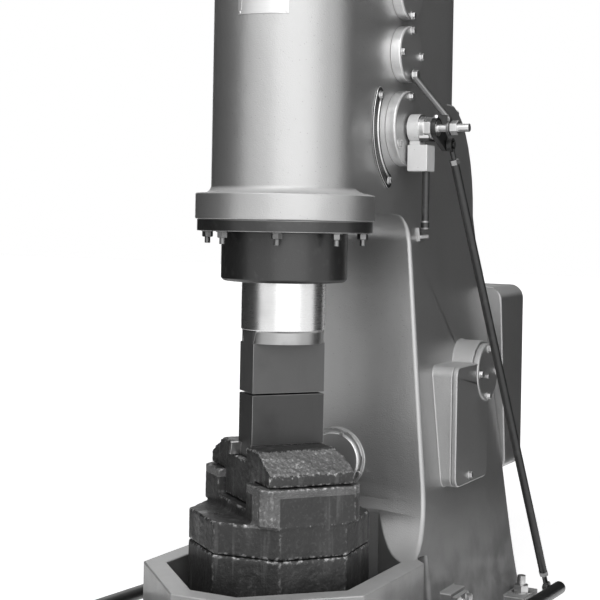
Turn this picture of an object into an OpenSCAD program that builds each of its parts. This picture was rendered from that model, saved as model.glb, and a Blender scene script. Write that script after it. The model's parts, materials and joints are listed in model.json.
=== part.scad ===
// Air forging hammer with a separate anvil.
// Millimetres. Z is up, the front of the machine looks towards -Y, and the
// origin lies on the floor under the ram axis.

/* [Base ring] */
// Height of the base casting and of the ring round the anvil
base_h = 340; // [300:5:380]
// Wall thickness of the ring round the anvil
ring_wall = 62; // [45:1:80]
// Half width of the pit that the anvil stands in
pit_half_w = 285; // [275:1:310]
// Reach of the pit in front of the ram axis
pit_front = 360; // [330:5:420]
// Reach of the pit behind the ram axis
pit_rear = 345; // [310:1:350]
// Corner cut of the pit at the front
pit_front_cut = 215; // [120:5:240]
// Corner cut of the pit at the back
pit_rear_cut = 130; // [90:5:160]
// Reach of the base behind the ram axis, on the floor
base_back = 1190; // [1150:5:1300]
// Width of a foot lug
lug_w = 150; // [120:5:180]
// Length of a foot lug
lug_len = 150; // [90:5:160]
// Height of a foot lug
lug_h = 78; // [50:1:110]
// How far a foot lug stands out of the base
lug_reach = 72; // [60:1:100]
// Radius of an anchor bolt hole
anchor_hole_r = 17; // [10:0.5:24]

/* [Column] */
// Half width of the column where it meets the base
column_base_half_w = 313; // [290:1:330]
// Distance from the ram axis to the column's front wall, at its top
throat_depth = 400; // [370:1:440]
// Distance from the ram axis to the column's front wall, at its foot
throat_depth_foot = 352; // [350:1:390]
// Reach of the column behind the ram axis, at its top
column_back_top = 965; // [930:1:1000]
// Reach of the column behind the ram axis, at its foot
column_back_foot = 1084; // [1040:1:1130]
// Radius of the column's upright edges
column_edge_r = 13; // [8:1:40]
// Height of the flare at the column's foot
flare_h = 185; // [120:5:240]
// How far the flare reaches forwards
flare_front = 112; // [50:1:120]
// Height of the fillet under the cylinder block
throat_fillet_h = 82; // [40:1:110]
// How far the fillet under the cylinder block reaches forwards
throat_fillet_reach = 104; // [50:1:120]

/* [Cylinder block] */
// Height from the lower die's face to the gland
working_h = 458; // [400:1:500]
// Half width of the block, and outer radius of the working cylinder
block_half_w = 212; // [190:1:225]
// Height of the block above the flange's lower face
block_h = 1121; // [1000:1:1200]
// How far the block's underside lies above the flange's lower face
underside_rise = 23; // [10:1:40]
// Radius of the flange at the working cylinder's foot
flange_r = 256; // [240:1:275]
// Thickness of that flange
flange_t = 74; // [50:1:90]
// Fillet on top of that flange
flange_fillet = 22; // [5:1:30]
// Distance from the ram axis to the compressor's axis
compressor_y = 720; // [660:1:760]
// Outer radius of the compressor cylinder
compressor_r = 205; // [180:1:211]
// How far behind the ram axis the block's flat sides end
flat_side_end = 700; // [560:1:715]
// How far the shoulder over the crankcase reaches behind the compressor's axis
shoulder_reach = 245; // [215:1:275]
// Height of that shoulder
shoulder_h = 364; // [250:1:420]
// Thickness of a cylinder head's flange
head_flange_t = 55; // [35:1:70]
// Height of the boss on a cylinder head
head_boss_h = 45; // [20:1:60]
// Radius of the boss on a cylinder head
head_boss_r = 128; // [90:1:150]
// Edge left free round a cylinder head's flange
head_edge = 9; // [4:1:20]

/* [Ram and dies] */
// Radius of the ram
ram_r = 120; // [100:1:130]
// Height of the ram's lower collar
ram_collar_h = 38; // [20:1:60]
// How much smaller the lower collar's radius is
ram_collar_step = 4; // [2:0.5:8]
// Length of the ram between the collar and the piston
ram_rod_len = 690; // [620:1:720]
// Length of the piston at the ram's upper end
piston_len = 180; // [120:1:200]
// How much larger the piston's radius is than the ram's
piston_step = 26; // [15:1:30]
// Travel of the ram
ram_stroke = 165; // [100:1:168]
// Length of a die's face
die_len = 220; // [200:1:235]
// Width of a die's face
die_w = 100; // [90:1:130]
// Height of a die between its face and its shoulder
die_h = 140; // [110:1:150]
// Gap between the closed dies
die_gap = 5; // [5:0.5:20]
// Turn of the dies and of the anvil about the ram axis
die_turn = 51; // [0:1:90]
// Half width of a dovetail at its mouth
dovetail_half_w = 44; // [36:1:45]
// Undercut of a dovetail
dovetail_undercut = 9; // [4:0.5:12]
// Depth of a dovetail
dovetail_h = 36; // [24:1:45]
// Thickness of a die key
die_key_t = 16; // [10:0.5:22]
// How far a die key stands out at each end
die_key_stand = 12; // [4:1:25]
// Height of the gland ring
gland_h = 33; // [26:1:60]
// How much smaller the gland ring's radius is than the flange's
gland_step = 6; // [2:1:20]
// Radius of the guide sleeve under the gland
sleeve_r = 180; // [160:1:200]
// Length of the guide sleeve under the gland
sleeve_h = 140; // [80:1:145]

/* [Anvil] */
// Width of the anvil across its flats
anvil_across = 480; // [450:1:520]
// Height of the anvil's lower block
anvil_lower_h = 410; // [360:1:450]
// Height of the eight-sided part of the anvil's upper block
anvil_upper_h = 90; // [60:1:120]
// Height of the anvil's head
anvil_head_h = 102; // [90:1:130]
// Half length of the anvil's head, along the dies
anvil_head_half_len = 150; // [140:1:170]
// How far the anvil's head stands out of the flat below it
anvil_head_proud = 0; // [0:0.5:10]
// How far the head's corners may stand out of the eight sides
anvil_corner_proud = 18; // [8:1:30]
// Half width of the slot across the anvil's head
anvil_slot_half_w = 110; // [90:1:125]
// Depth of that slot
anvil_slot_h = 72; // [40:1:80]
// Half length of the anvil cap, along the dies
cap_half_len = 127; // [122:1:140]
// Half width of the anvil cap at its foot
cap_foot_half_w = 226; // [200:1:238]
// Half width of the anvil cap at its top
cap_top_half_w = 138; // [110:1:150]
// Height of the anvil cap
cap_h = 88; // [70:1:110]
// Height of the upright band at the anvil cap's foot
cap_band_h = 36; // [20:1:45]
// Slope cut at the cap's rear end
cap_end_cut = 34; // [15:1:45]

/* [Valve covers] */
// Distance from the ram axis to the valves' axes
valve_y = 323; // [290:1:350]
// Height of the lower valve above the flange's lower face
lower_valve_rise = 279; // [255:1:300]
// Distance between the lower and the middle valve
middle_valve_step = 220; // [210:1:240]
// Distance between the middle and the upper valve
upper_valve_step = 187; // [180:1:230]
// Radius of the lower valve's cover
lower_cover_r = 112; // [100:1:120]
// Radius of the middle and upper valves' covers
small_cover_r = 84; // [70:1:88]
// Thickness of a valve cover
cover_t = 33; // [24:1:40]
// Chamfer round a valve cover's face
cover_chamfer = 4; // [1:0.5:6]

/* [Valve lever] */
// Radius of the valve shaft
shaft_r = 24; // [18:0.5:28]
// Radius of the shaft's hub
hub_r = 42; // [36:1:46]
// Length of the shaft's hub
hub_len = 34; // [18:1:34]
// Gap between the cover and the hub
hub_gap = 5; // [5:0.5:8]
// Radius of the collar behind the hub
collar_r = 35; // [30:1:40]
// Length of the collar behind the hub
collar_len = 15; // [14:1:26]
// Width across the flats of the shaft's hexagon
hex_across = 58; // [52:1:66]
// Length of the shaft's hexagon
hex_len = 20; // [12:1:28]
// Radius of the stud at the shaft's end
stud_r = 12; // [8:0.5:16]
// Length of that stud
stud_len = 96; // [88:1:120]
// Width across the flats of the nut on the stud
stud_nut_across = 38; // [30:1:46]
// Thickness of that nut
stud_nut_t = 22; // [14:1:24]
// Distance from the crank arm to the brace bar
brace_stand = 30; // [26:1:34]
// Side of the lever block under the hub
block_side = 62; // [50:1:70]
// Height of the lever block
lever_block_h = 78; // [60:1:90]
// Gap between the hub and the lever block
block_drop = 8; // [8:1:24]
// Width of the lever block's neck
block_neck_w = 40; // [28:1:48]
// Radius of the hand lever
lever_r = 11; // [7:0.5:12]
// Length of the hand lever below its block
lever_len = 170; // [120:1:200]
// Radius of the knob at the hand lever's end
lever_knob_r = 13; // [10:0.5:18]
// Thickness of the crank arm
crank_t = 16; // [10:1:20]
// Radius of the crank arm's eye on the shaft
crank_eye_r = 31; // [30:0.5:34]
// Radius of the crank arm's outer end
crank_end_r = 20; // [16:0.5:24]
// How far the crank pin lies behind the shaft
crank_pin_y = 70; // [62:1:90]
// How far the crank pin lies below the shaft
crank_pin_drop = 45; // [20:1:60]
// Radius of the crank pin
crank_pin_r = 8; // [6:0.5:10]
// Width of the brace bar
brace_w = 20; // [14:1:26]
// Thickness of the brace bar
brace_t = 8; // [5:0.5:12]
// Radius of the brace bar's eye
brace_eye_r = 22; // [18:0.5:26]
// Inner radius of the quadrant plate
quadrant_in_r = 160; // [140:1:175]
// Outer radius of the quadrant plate
quadrant_out_r = 204; // [190:1:220]
// Thickness of the quadrant plate
quadrant_t = 6; // [3:0.5:10]
// Upper end of the quadrant plate, above the forward level
quadrant_up = 29; // [20:1:45]
// Lower end of the quadrant plate, below the forward level
quadrant_down = 60; // [50:1:80]
// Radius of the quadrant plate's rounded ends
quadrant_end_r = 23; // [23:0.5:28]
// Width of the groove along the quadrant plate
quadrant_groove_w = 22; // [10:1:30]
// Height of the lever stop below the block's underside
stop_drop = 60; // [45:1:80]
// Distance from the ram axis to the lever stop
stop_y = 466; // [460:1:520]
// Reach of the lever stop's pin
stop_pin_len = 34; // [20:1:50]

/* [Treadle] */
// Distance from the ram axis to the treadle's pivot
treadle_pivot_y = 480; // [440:5:520]
// Height of the treadle's pivot
treadle_pivot_z = 150; // [120:1:180]
// Half width of the treadle between its bars' centres
treadle_half_w = 530; // [500:1:550]
// Reach of the treadle in front of its pivot
treadle_front = 1020; // [980:5:1080]
// Reach of the treadle's right bar behind its pivot
treadle_rear = 490; // [430:5:520]
// Rise of the treadle from its pivot to its front
treadle_rise = 40; // [20:1:70]
// Radius of the treadle's bar
treadle_bar_r = 21; // [16:0.5:25]
// Distance from the right bar's rear end to the pull rod's pin
rod_pin_inset = 26; // [20:1:36]
// Radius of the treadle's bends
treadle_bend_r = 130; // [80:5:180]
// Radius of the treadle's pivot pins
pivot_pin_r = 15; // [10:0.5:16]
// Outer radius of the treadle's pivot eyes
pivot_eye_r = 32; // [28:0.5:38]
// Length of the treadle's pivot eyes
pivot_eye_len = 54; // [48:1:70]
// Side of a treadle bracket's plate
bracket_side = 100; // [80:1:116]
// Thickness of a treadle bracket's plate
bracket_t = 16; // [10:1:24]
// Side of the pad on the base under a treadle bracket
bracket_pad_side = 120; // [118:1:140]
// How far that pad stands out of the base ring
bracket_pad_t = 16; // [8:1:24]
// Radius of the pull rod
rod_r = 13; // [10:0.5:16]
// Radius of the pull rod's threaded ends
rod_neck_r = 8; // [6:0.5:10]
// Length of the pull rod's threaded ends
rod_neck_len = 62; // [40:1:90]
// Outer radius of the pull rod's eyes
rod_eye_r = 21; // [20:0.5:26]
// Thickness of the pull rod's eyes
rod_eye_t = 16; // [10:0.5:18]
// Radius of the pin that holds the pull rod to the treadle
rod_pin_r = 8; // [6:0.5:10]

/* [Crankcase covers] */
// Distance from the ram axis to the crankcase pad's front edge
pad_front = 490; // [440:1:520]
// Distance from the ram axis to the crankcase pad's rear edge
pad_rear = 770; // [720:1:830]
// Height of the pad's lower edge
pad_bottom = 512; // [490:1:540]
// Height of the pad's upper edge
pad_top = 880; // [840:1:920]
// Corner radius of the pad
pad_corner_r = 30; // [15:1:45]
// Half width of the machine over the pads
pad_half_w = 328; // [300:1:335]
// Thickness of a crankcase cover
pad_cover_t = 16; // [8:0.5:20]
// Radius of a bearing cap
bearing_cap_r = 92; // [80:1:100]
// Thickness of a bearing cap
bearing_cap_t = 20; // [12:1:30]
// Distance from the ram axis to the bearing caps
bearing_y = 755; // [740:1:775]
// Height of the bearing caps
bearing_z = 845; // [830:1:860]
// Height of the round cover on the column's front
front_cover_z = 590; // [580:1:640]
// Radius of the boss under that cover
front_boss_r = 95; // [80:1:105]
// How far that boss stands out of the wall
front_boss_t = 12; // [8:0.5:20]
// Radius of the round cover
front_cover_r = 84; // [70:1:92]
// Thickness of the round cover
front_cover_t = 10; // [6:0.5:16]

/* [Drive] */
// Half width of the gear case
gear_case_half_w = 303; // [280:1:320]
// Reach of the gear case behind the ram axis
gear_case_back = 1232; // [1200:1:1280]
// Height of the gear case's lower edge
gear_case_bottom = 475; // [430:1:500]
// Height of the gear case's upper edge
gear_case_top = 1108; // [1060:1:1150]
// Corner radius of the gear case
gear_case_r = 46; // [20:1:70]
// Rim left round the gear case's rear cover
gear_cover_rim = 22; // [12:1:40]
// Thickness of the gear case's rear cover
gear_cover_t = 14; // [8:0.5:20]
// Sideways place of the motor's axis
motor_x = -140; // [-170:1:-60]
// Height of the motor's axis
motor_z = 730; // [700:1:800]
// Radius of the motor's frame
motor_r = 150; // [130:1:165]
// Length of the motor's frame
motor_len = 430; // [380:1:480]
// Radius of the motor's flange
motor_flange_r = 200; // [180:1:215]
// Thickness of the motor's flange
motor_flange_t = 24; // [16:1:30]
// Height of the motor's cooling fins
motor_fin_h = 22; // [12:1:28]
// Thickness of a cooling fin
motor_fin_t = 6; // [4:0.5:8]
// Number of cooling fins
motor_fins = 32; // [16:1:36]
// Length of the fan cowl
cowl_len = 118; // [80:1:150]
// Width of the terminal box along the motor
terminal_len = 150; // [110:1:180]
// Width of the terminal box across the motor
terminal_w = 130; // [100:1:160]
// Height of the terminal box
terminal_h = 80; // [50:1:110]

/* [Nameplate] */
// Width of the plate on the working cylinder, in degrees
plate_angle = 40; // [20:1:60]
// Height of that plate
plate_h = 118; // [80:1:150]
// Height of the plate's lower edge above the flange's lower face
plate_rise = 560; // [450:1:650]
// Thickness of the plate
plate_t = 2.5; // [1:0.5:5]
// Turn of the plate from the front of the machine
plate_turn = 8; // [-20:1:20]

/* [Fits] */
// Gap between pieces that are fitted together
fit_gap = 0.3; // [0.2:0.05:0.5]
// Running clearance of a pin in its eye
pin_gap = 0.06; // [0.03:0.01:0.1]
// Clearance of the pull rod's upper eye on the crank pin
open_eye_gap = 4.5; // [3.5:0.1:6]

/* [Hidden] */
$fn = 64;
EPS = 1;
CORNER_STEPS = 6;
FLARE_STEPS = 7;
FILLET_STEPS = 6;
SHOULDER_STEPS = 9;
SHOULDER_SHARE = 0.985;
WEDGE_STEPS = 4;
OCTAGON_SIDES = 8;

// Chamfers and small steps of turned pieces
HEAD_CHAMFER = 6;
BOSS_CHAMFER = 8;
BOSS_FILLET = 10;
SLEEVE_CHAMFER = 8;
COLLAR_CHAMFER = 5;
KNOB_CHAMFER = 3;
CAP_CHAMFER = 4;
COWL_CHAMFER = 24;

// Small gaps, and how far pins stand out
BORE_HEADROOM = 40;
CAP_ROOT_GAP = 2;
SEAM_GAP = 0.05;
NUT_GAP = 2;
ROD_SIDE_GAP = 3;
PIN_STAND = 6;
LEVER_INSET = 4;
FLANGE_GAP = 4;

// Fixed sizes of small features
KNOB_LEN = 24;
STOP_PLATE = [42, 18, 7];
STOP_PIN_R = 6;
STOP_PIN_OFF = 8;
BRACE_FOOT_SHARE = 0.72;
BRACKET_ARM_STEP = 15;
BEARING_RIM = 8;
FIN_INSET = 20;

// Heights from the floor up
anvil_ledge_z = anvil_lower_h + anvil_upper_h;
anvil_top_z = anvil_ledge_z + anvil_head_h;
cap_top_z = anvil_top_z + cap_h;
die_plane_z = cap_top_z + die_h;
ram_foot_z = die_plane_z + die_gap + die_h;
gland_z = die_plane_z + working_h;
flange_z = gland_z + gland_h;
throat_top = flange_z + underside_rise;
block_top = flange_z + block_h;
piston_z = ram_foot_z + ram_collar_h + ram_rod_len;
piston_r = ram_r + piston_step;
bore_top = piston_z + piston_len + ram_stroke + BORE_HEADROOM;
lower_valve_z = flange_z + lower_valve_rise;
middle_valve_z = lower_valve_z + middle_valve_step;
upper_valve_z = middle_valve_z + upper_valve_step;

// Slopes of the column's walls
function share(z) = (z - base_h) / (throat_top - base_h);
function column_half_w(z) = column_base_half_w + (block_half_w - column_base_half_w) * share(z);
function column_front(z) = throat_depth_foot + (throat_depth - throat_depth_foot) * share(z);
function column_back(z) = column_back_foot + (column_back_top - column_back_foot) * share(z);
side_lean = atan((column_base_half_w - block_half_w) / (throat_top - base_h));
front_lean = atan((throat_depth - throat_depth_foot) / (throat_top - base_h));

// Quarter ellipse used by flares and fillets: 0 at u = 0, 1 at u = 1
function ease(u) = 1 - sqrt(max(0, 1 - u * u));

// Parts of the valve shaft, along X from the cover's face outwards
cover_face_x = block_half_w + cover_t;
hub_x = cover_face_x + hub_gap;
collar_x = hub_x + hub_len;
hex_x = collar_x + collar_len;
crank_x = hex_x + hex_len;
stud_x = crank_x + crank_t;
brace_x = stud_x + brace_stand;
stud_nut_x = brace_x + brace_t + NUT_GAP;
lever_x = hub_x + block_side - lever_r - LEVER_INSET;
rod_top_x = stud_x + ROD_SIDE_GAP + rod_eye_t / 2;
crank_pin = [valve_y + crank_pin_y, lower_valve_z - crank_pin_drop];

// Treadle and pull rod
treadle_tilt = asin(treadle_rise / treadle_front);
bracket_x = ring_wall + pit_half_w + bracket_pad_t;
rod_foot_x = treadle_half_w - treadle_bar_r - PIN_STAND - rod_eye_t / 2;
rod_arm = treadle_rear - rod_pin_inset;
rod_foot = [
    treadle_pivot_y + rod_arm * cos(treadle_tilt),
    treadle_pivot_z - rod_arm * sin(treadle_tilt)
];
rod_vector = [rod_top_x - rod_foot_x, crank_pin[0] - rod_foot[0], crank_pin[1] - rod_foot[1]];
rod_len = norm(rod_vector);

ENAMEL = "#8d8f90";
BRIGHT = "#d4d6d8";
STEEL = "#9a9c9e";
BLACK = "#2b2b2c";
OILY = "#3a3836";

// Outline of a rounded rectangle from y0 to y1, with half width w
function rounded_outline(w, y0, y1, r) = [
    for (corner = [[w - r, y0 + r, -90], [w - r, y1 - r, 0], [r - w, y1 - r, 90], [r - w, y0 + r, 180]])
        for (i = [0:CORNER_STEPS])
            [corner[0] + r * cos(corner[2] + 90 * i / CORNER_STEPS),
             corner[1] + r * sin(corner[2] + 90 * i / CORNER_STEPS)]
];

// Solid lofted through sections [z, half width, front, back], edges rounded by r
module loft(sections, r) {
    rings = [for (s = sections) [for (p = rounded_outline(s[1], s[2], s[3], r)) [p[0], p[1], s[0]]]];
    n = len(rings[0]);
    last = (len(rings) - 1) * n;
    polyhedron(
        points = [for (ring = rings) each ring],
        faces = concat(
            [[for (i = [0:n - 1]) i]],
            [for (k = [0:len(rings) - 2]) for (i = [0:n - 1])
                [k * n + i, (k + 1) * n + i, (k + 1) * n + (i + 1) % n, k * n + (i + 1) % n]],
            [[for (i = [n - 1:-1:0]) last + i]]
        )
    );
}

// Cylinder along X from x0 to x1
module bar_x(r, x0, x1) {
    translate([x0, 0, 0]) rotate([0, 90, 0]) cylinder(r = r, h = x1 - x0);
}

// Round disc with a chamfered face, standing on Z = 0
module chamfered_disc(r, t, chamfer) {
    rotate_extrude()
        polygon([[0, 0], [r, 0], [r, t - chamfer], [r - chamfer, t], [0, t]]);
}

// Prism over a plan that is mirrored about X = 0
module eight_sided(half_w, front, back, front_cut, back_cut, h) {
    right = [
        [half_w - front_cut, -front], [half_w, front_cut - front],
        [half_w, back - back_cut], [half_w - back_cut, back]
    ];
    linear_extrude(h) polygon(concat(right, [for (i = [3:-1:0]) [-right[i][0], right[i][1]]]));
}

// Regular octagon prism with two of its flats along the dies
module octagon(across, h) {
    half_angle = 180 / OCTAGON_SIDES;
    rotate([0, 0, die_turn + half_angle]) cylinder(r = across / 2 / cos(half_angle), h = h, $fn = OCTAGON_SIDES);
}

// Pit that the anvil stands in
module pit(h) {
    eight_sided(pit_half_w, pit_front, pit_rear, pit_front_cut, pit_rear_cut, h);
}

// Places children on both sides of the machine
module both_sides() {
    children();
    mirror([1, 0, 0]) children();
}

// Places children with their Z axis out of the column's right wall at y, z
module on_column_side(y, z) {
    translate([column_half_w(z), y, z]) rotate([0, 90 - side_lean, 0]) children();
}

// Places children with their Z axis out of the column's front wall at height z
module on_column_front(z) {
    translate([0, column_front(z), z]) rotate([90 - front_lean, 0, 0]) children();
}

// Outline of the crankcase pad in the Y-Z plane
module pad_outline() {
    hull() {
        for (y = [pad_front + pad_corner_r, pad_rear - pad_corner_r])
            for (z = [pad_bottom + pad_corner_r, pad_top - pad_corner_r])
                translate([y, z]) circle(r = pad_corner_r, $fn = 32);
    }
}

// Extrudes a Y-Z outline along X, from x0 to x1
module along_x(x0, x1) {
    translate([x0, 0, 0]) rotate([90, 0, 90]) linear_extrude(x1 - x0) children();
}

module foot_lug(y) {
    half_w = column_half_w(lug_h);
    difference() {
        translate([half_w + lug_reach - lug_w, y - lug_len / 2, 0]) cube([lug_w, lug_len, lug_h]);
        translate([half_w + lug_reach - 2 * anchor_hole_r, y, -EPS])
            cylinder(r = anchor_hole_r, h = lug_h + 2 * EPS);
    }
}

module pedestal() {
    steps = FLARE_STEPS;
    loft([for (i = [0:steps])
        let (u = cos(90 * i / steps), z = base_h * (1 - u))
        [z, column_half_w(z), pit_rear, column_back(z) + (base_back - column_back(0)) * ease(u)]],
        column_edge_r);
}

module frame_base() {
    color(ENAMEL) {
        difference() {
            union() {
                eight_sided(
                    pit_half_w + ring_wall, pit_front + ring_wall, pit_rear + ring_wall,
                    pit_front_cut + ring_wall * (2 - sqrt(2)),
                    pit_rear_cut + ring_wall * (2 - sqrt(2)), base_h);
                pedestal();
                both_sides() along_x(pit_half_w, bracket_x)
                    translate([treadle_pivot_y, treadle_pivot_z]) square(bracket_pad_side, center = true);
            }
            translate([0, 0, -EPS]) pit(base_h + 2 * EPS);
        }
        both_sides() foot_lug(base_back - lug_len);
    }
}

module column_body() {
    flare = [for (i = [0:FLARE_STEPS])
        let (u = cos(90 * i / FLARE_STEPS), z = base_h + flare_h * (1 - u))
        [z, column_half_w(z), column_front(z) - flare_front * ease(u), column_back(z)]];
    fillet = [for (i = [0:FILLET_STEPS])
        let (u = sin(90 * i / FILLET_STEPS), z = throat_top - throat_fillet_h * (1 - u))
        [z, column_half_w(z), column_front(z) - throat_fillet_reach * ease(u), column_back(z)]];
    loft(concat(flare, fillet), column_edge_r);
}

module frame_column() {
    color(ENAMEL) difference() {
        union() {
            column_body();
            both_sides() along_x(block_half_w / 2, pad_half_w) pad_outline();
            both_sides() translate([0, bearing_y, bearing_z])
                bar_x(bearing_cap_r + BEARING_RIM, block_half_w / 2, pad_half_w);
            on_column_front(front_cover_z)
                translate([0, 0, -front_boss_t]) cylinder(r = front_boss_r, h = 2 * front_boss_t);
        }
        translate([0, 0, base_h - EPS]) pit(flare_h);
    }
}

module shoulder() {
    loft([for (i = [0:SHOULDER_STEPS])
        let (u = SHOULDER_SHARE * sin(90 * i / SHOULDER_STEPS))
        [throat_top + shoulder_h * u, block_half_w, valve_y,
         compressor_y + shoulder_reach * (1 - ease(u))]],
        column_edge_r);
}

module cylinder_block() {
    color(ENAMEL) difference() {
        union() {
            translate([0, 0, flange_z]) rotate_extrude() polygon(concat(
                [[0, 0], [flange_r, 0], [flange_r, flange_t]],
                [for (i = [0:FILLET_STEPS])
                    [block_half_w + flange_fillet * (1 - sin(90 * i / FILLET_STEPS)),
                     flange_t + flange_fillet * (1 - cos(90 * i / FILLET_STEPS))]],
                [[block_half_w, block_h], [0, block_h]]));
            translate([-block_half_w, 0, throat_top])
                cube([2 * block_half_w, flat_side_end, block_top - throat_top]);
            translate([0, compressor_y, throat_top]) cylinder(r = compressor_r, h = block_top - throat_top);
            shoulder();
        }
        translate([0, 0, flange_z - EPS]) cylinder(r = piston_r + fit_gap, h = bore_top - flange_z);
    }
}

module cylinder_head(r) {
    top = head_flange_t + head_boss_h;
    rotate_extrude() polygon([
        [0, 0], [r, 0], [r, head_flange_t - HEAD_CHAMFER], [r - HEAD_CHAMFER, head_flange_t],
        [head_boss_r + BOSS_FILLET, head_flange_t], [head_boss_r, head_flange_t + BOSS_FILLET],
        [head_boss_r, top - BOSS_CHAMFER], [head_boss_r - BOSS_CHAMFER, top], [0, top]
    ]);
}

module working_cylinder_head() {
    color(ENAMEL) translate([0, 0, block_top]) cylinder_head(block_half_w - head_edge);
}

module compressor_cylinder_head() {
    color(ENAMEL) translate([0, compressor_y, block_top]) cylinder_head(compressor_r - head_edge);
}

module gland_ring() {
    color(BLACK) translate([0, 0, gland_z]) difference() {
        cylinder(r = flange_r - gland_step, h = gland_h);
        translate([0, 0, -EPS]) cylinder(r = ram_r + fit_gap, h = gland_h + 2 * EPS);
    }
}

module guide_sleeve() {
    color(BLACK) translate([0, 0, gland_z - sleeve_h]) difference() {
        rotate_extrude() polygon([[0, 0], [sleeve_r - SLEEVE_CHAMFER, 0], [sleeve_r, SLEEVE_CHAMFER],
            [sleeve_r, sleeve_h], [0, sleeve_h]]);
        translate([0, 0, -EPS]) cylinder(r = ram_r + fit_gap, h = sleeve_h + 2 * EPS);
    }
}

// Runs a profile in the plane across the dies along the dies' length
module along_dies(half_len) {
    rotate([0, 0, die_turn]) translate([-half_len, 0, 0]) rotate([90, 0, 90])
        linear_extrude(2 * half_len) children();
}

// Profile of a dovetail slot with its mouth at height 0, opening downwards
module dovetail_slot() {
    top = dovetail_half_w + dovetail_undercut;
    mouth = dovetail_half_w - dovetail_undercut * EPS / dovetail_h;
    polygon([[-mouth, -EPS], [-top, dovetail_h], [top, dovetail_h], [mouth, -EPS]]);
}

// Profile of a die: body below height 0, dovetail root above it
module die_profile() {
    foot = dovetail_half_w - fit_gap;
    crown = dovetail_half_w + dovetail_undercut - fit_gap;
    polygon([
        [-die_w / 2, -die_h], [die_w / 2, -die_h], [die_w / 2, 0],
        [foot - die_key_t, 0], [crown - die_key_t, dovetail_h - 2 * fit_gap],
        [-crown, dovetail_h - 2 * fit_gap], [-foot, 0], [-die_w / 2, 0]
    ]);
}

// Profile of the key between a die's root and its slot
module key_profile() {
    foot = dovetail_half_w - fit_gap;
    crown = dovetail_half_w + dovetail_undercut - fit_gap;
    polygon([
        [foot - die_key_t + fit_gap, fit_gap], [foot, fit_gap],
        [crown - fit_gap, dovetail_h - 2 * fit_gap], [crown - die_key_t + fit_gap, dovetail_h - 2 * fit_gap]
    ]);
}

module ram() {
    color(BRIGHT) translate([0, 0, ram_foot_z]) difference() {
        rotate_extrude() polygon([
            [0, 0], [ram_r - ram_collar_step, 0], [ram_r - ram_collar_step, ram_collar_h - COLLAR_CHAMFER],
            [ram_r, ram_collar_h], [ram_r, ram_collar_h + ram_rod_len],
            [piston_r, ram_collar_h + ram_rod_len], [piston_r, ram_collar_h + ram_rod_len + piston_len],
            [0, ram_collar_h + ram_rod_len + piston_len]
        ]);
        along_dies(ram_r + EPS) dovetail_slot();
    }
}

// Part of a die's length that lies inside the ram's collar, above height 0
module inside_collar() {
    cylinder(r = ram_r - ram_collar_step, h = dovetail_h);
}

module upper_die() {
    color(STEEL) translate([0, 0, ram_foot_z]) difference() {
        along_dies(die_len / 2) die_profile();
        difference() {
            cylinder(r = die_len, h = dovetail_h);
            inside_collar();
        }
    }
}

module upper_die_key() {
    color(STEEL) translate([0, 0, ram_foot_z]) intersection() {
        along_dies(die_len / 2) key_profile();
        inside_collar();
    }
}

module lower_die() {
    color(STEEL) translate([0, 0, cap_top_z]) mirror([0, 0, 1]) along_dies(die_len / 2) die_profile();
}

module lower_die_key() {
    color(BRIGHT) translate([0, 0, cap_top_z]) mirror([0, 0, 1])
        along_dies(cap_half_len + die_key_stand) key_profile();
}

module anvil_cap() {
    root = anvil_slot_half_w - fit_gap;
    root_h = anvil_slot_h - CAP_ROOT_GAP;
    color(OILY) translate([0, 0, anvil_top_z]) difference() {
        along_dies(cap_half_len) polygon([
            [-root, -root_h], [root, -root_h], [root, 0], [cap_foot_half_w, 0],
            [cap_foot_half_w, cap_band_h], [cap_top_half_w, cap_h], [-cap_top_half_w, cap_h],
            [-cap_foot_half_w, cap_band_h], [-cap_foot_half_w, 0], [-root, 0]
        ]);
        translate([0, 0, cap_h]) mirror([0, 0, 1]) along_dies(cap_half_len + EPS) dovetail_slot();
        rotate([0, 0, die_turn]) translate([cap_half_len, -cap_foot_half_w - EPS, cap_h])
            rotate([-90, 0, 0]) linear_extrude(2 * (cap_foot_half_w + EPS))
                polygon([[-(cap_end_cut + EPS) / 2, -EPS], [EPS, -EPS], [EPS, cap_end_cut + 2 * EPS]]);
    }
}

module anvil_upper_block() {
    color(OILY) difference() {
        union() {
            translate([0, 0, anvil_lower_h + SEAM_GAP]) octagon(anvil_across, anvil_upper_h - SEAM_GAP);
            translate([0, 0, anvil_ledge_z - EPS]) intersection() {
                octagon(anvil_across + 2 * anvil_corner_proud, anvil_head_h + EPS);
                along_dies(anvil_head_half_len)
                    translate([-anvil_across / 2 - anvil_head_proud, -EPS])
                        square([anvil_across + 2 * anvil_head_proud, anvil_head_h + 3 * EPS]);
            }
        }
        translate([0, 0, anvil_top_z - anvil_slot_h]) along_dies(anvil_across)
            translate([-anvil_slot_half_w, 0]) square([2 * anvil_slot_half_w, anvil_slot_h + EPS]);
    }
}

module anvil_lower_block() {
    color(OILY) octagon(anvil_across, anvil_lower_h);
}

// Valve cover on the block's right side, with a bore of radius bore_r if over 0
module valve_cover(r, z, bore_r = 0) {
    translate([block_half_w, valve_y, z]) rotate([0, 90, 0]) difference() {
        chamfered_disc(r, cover_t, cover_chamfer);
        if (bore_r > 0)
            translate([0, 0, -EPS]) cylinder(r = bore_r, h = cover_t + 2 * EPS);
    }
}

module lower_valve_cover_right() {
    color(ENAMEL) valve_cover(lower_cover_r, lower_valve_z, shaft_r + pin_gap);
}

module middle_valve_cover_right() {
    color(ENAMEL) valve_cover(small_cover_r, middle_valve_z);
}

module upper_valve_cover_right() {
    color(ENAMEL) valve_cover(small_cover_r, upper_valve_z);
}

module lower_valve_cover_left() {
    color(ENAMEL) mirror([1, 0, 0]) valve_cover(lower_cover_r, lower_valve_z);
}

module middle_valve_cover_left() {
    color(ENAMEL) mirror([1, 0, 0]) valve_cover(small_cover_r, middle_valve_z);
}

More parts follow.
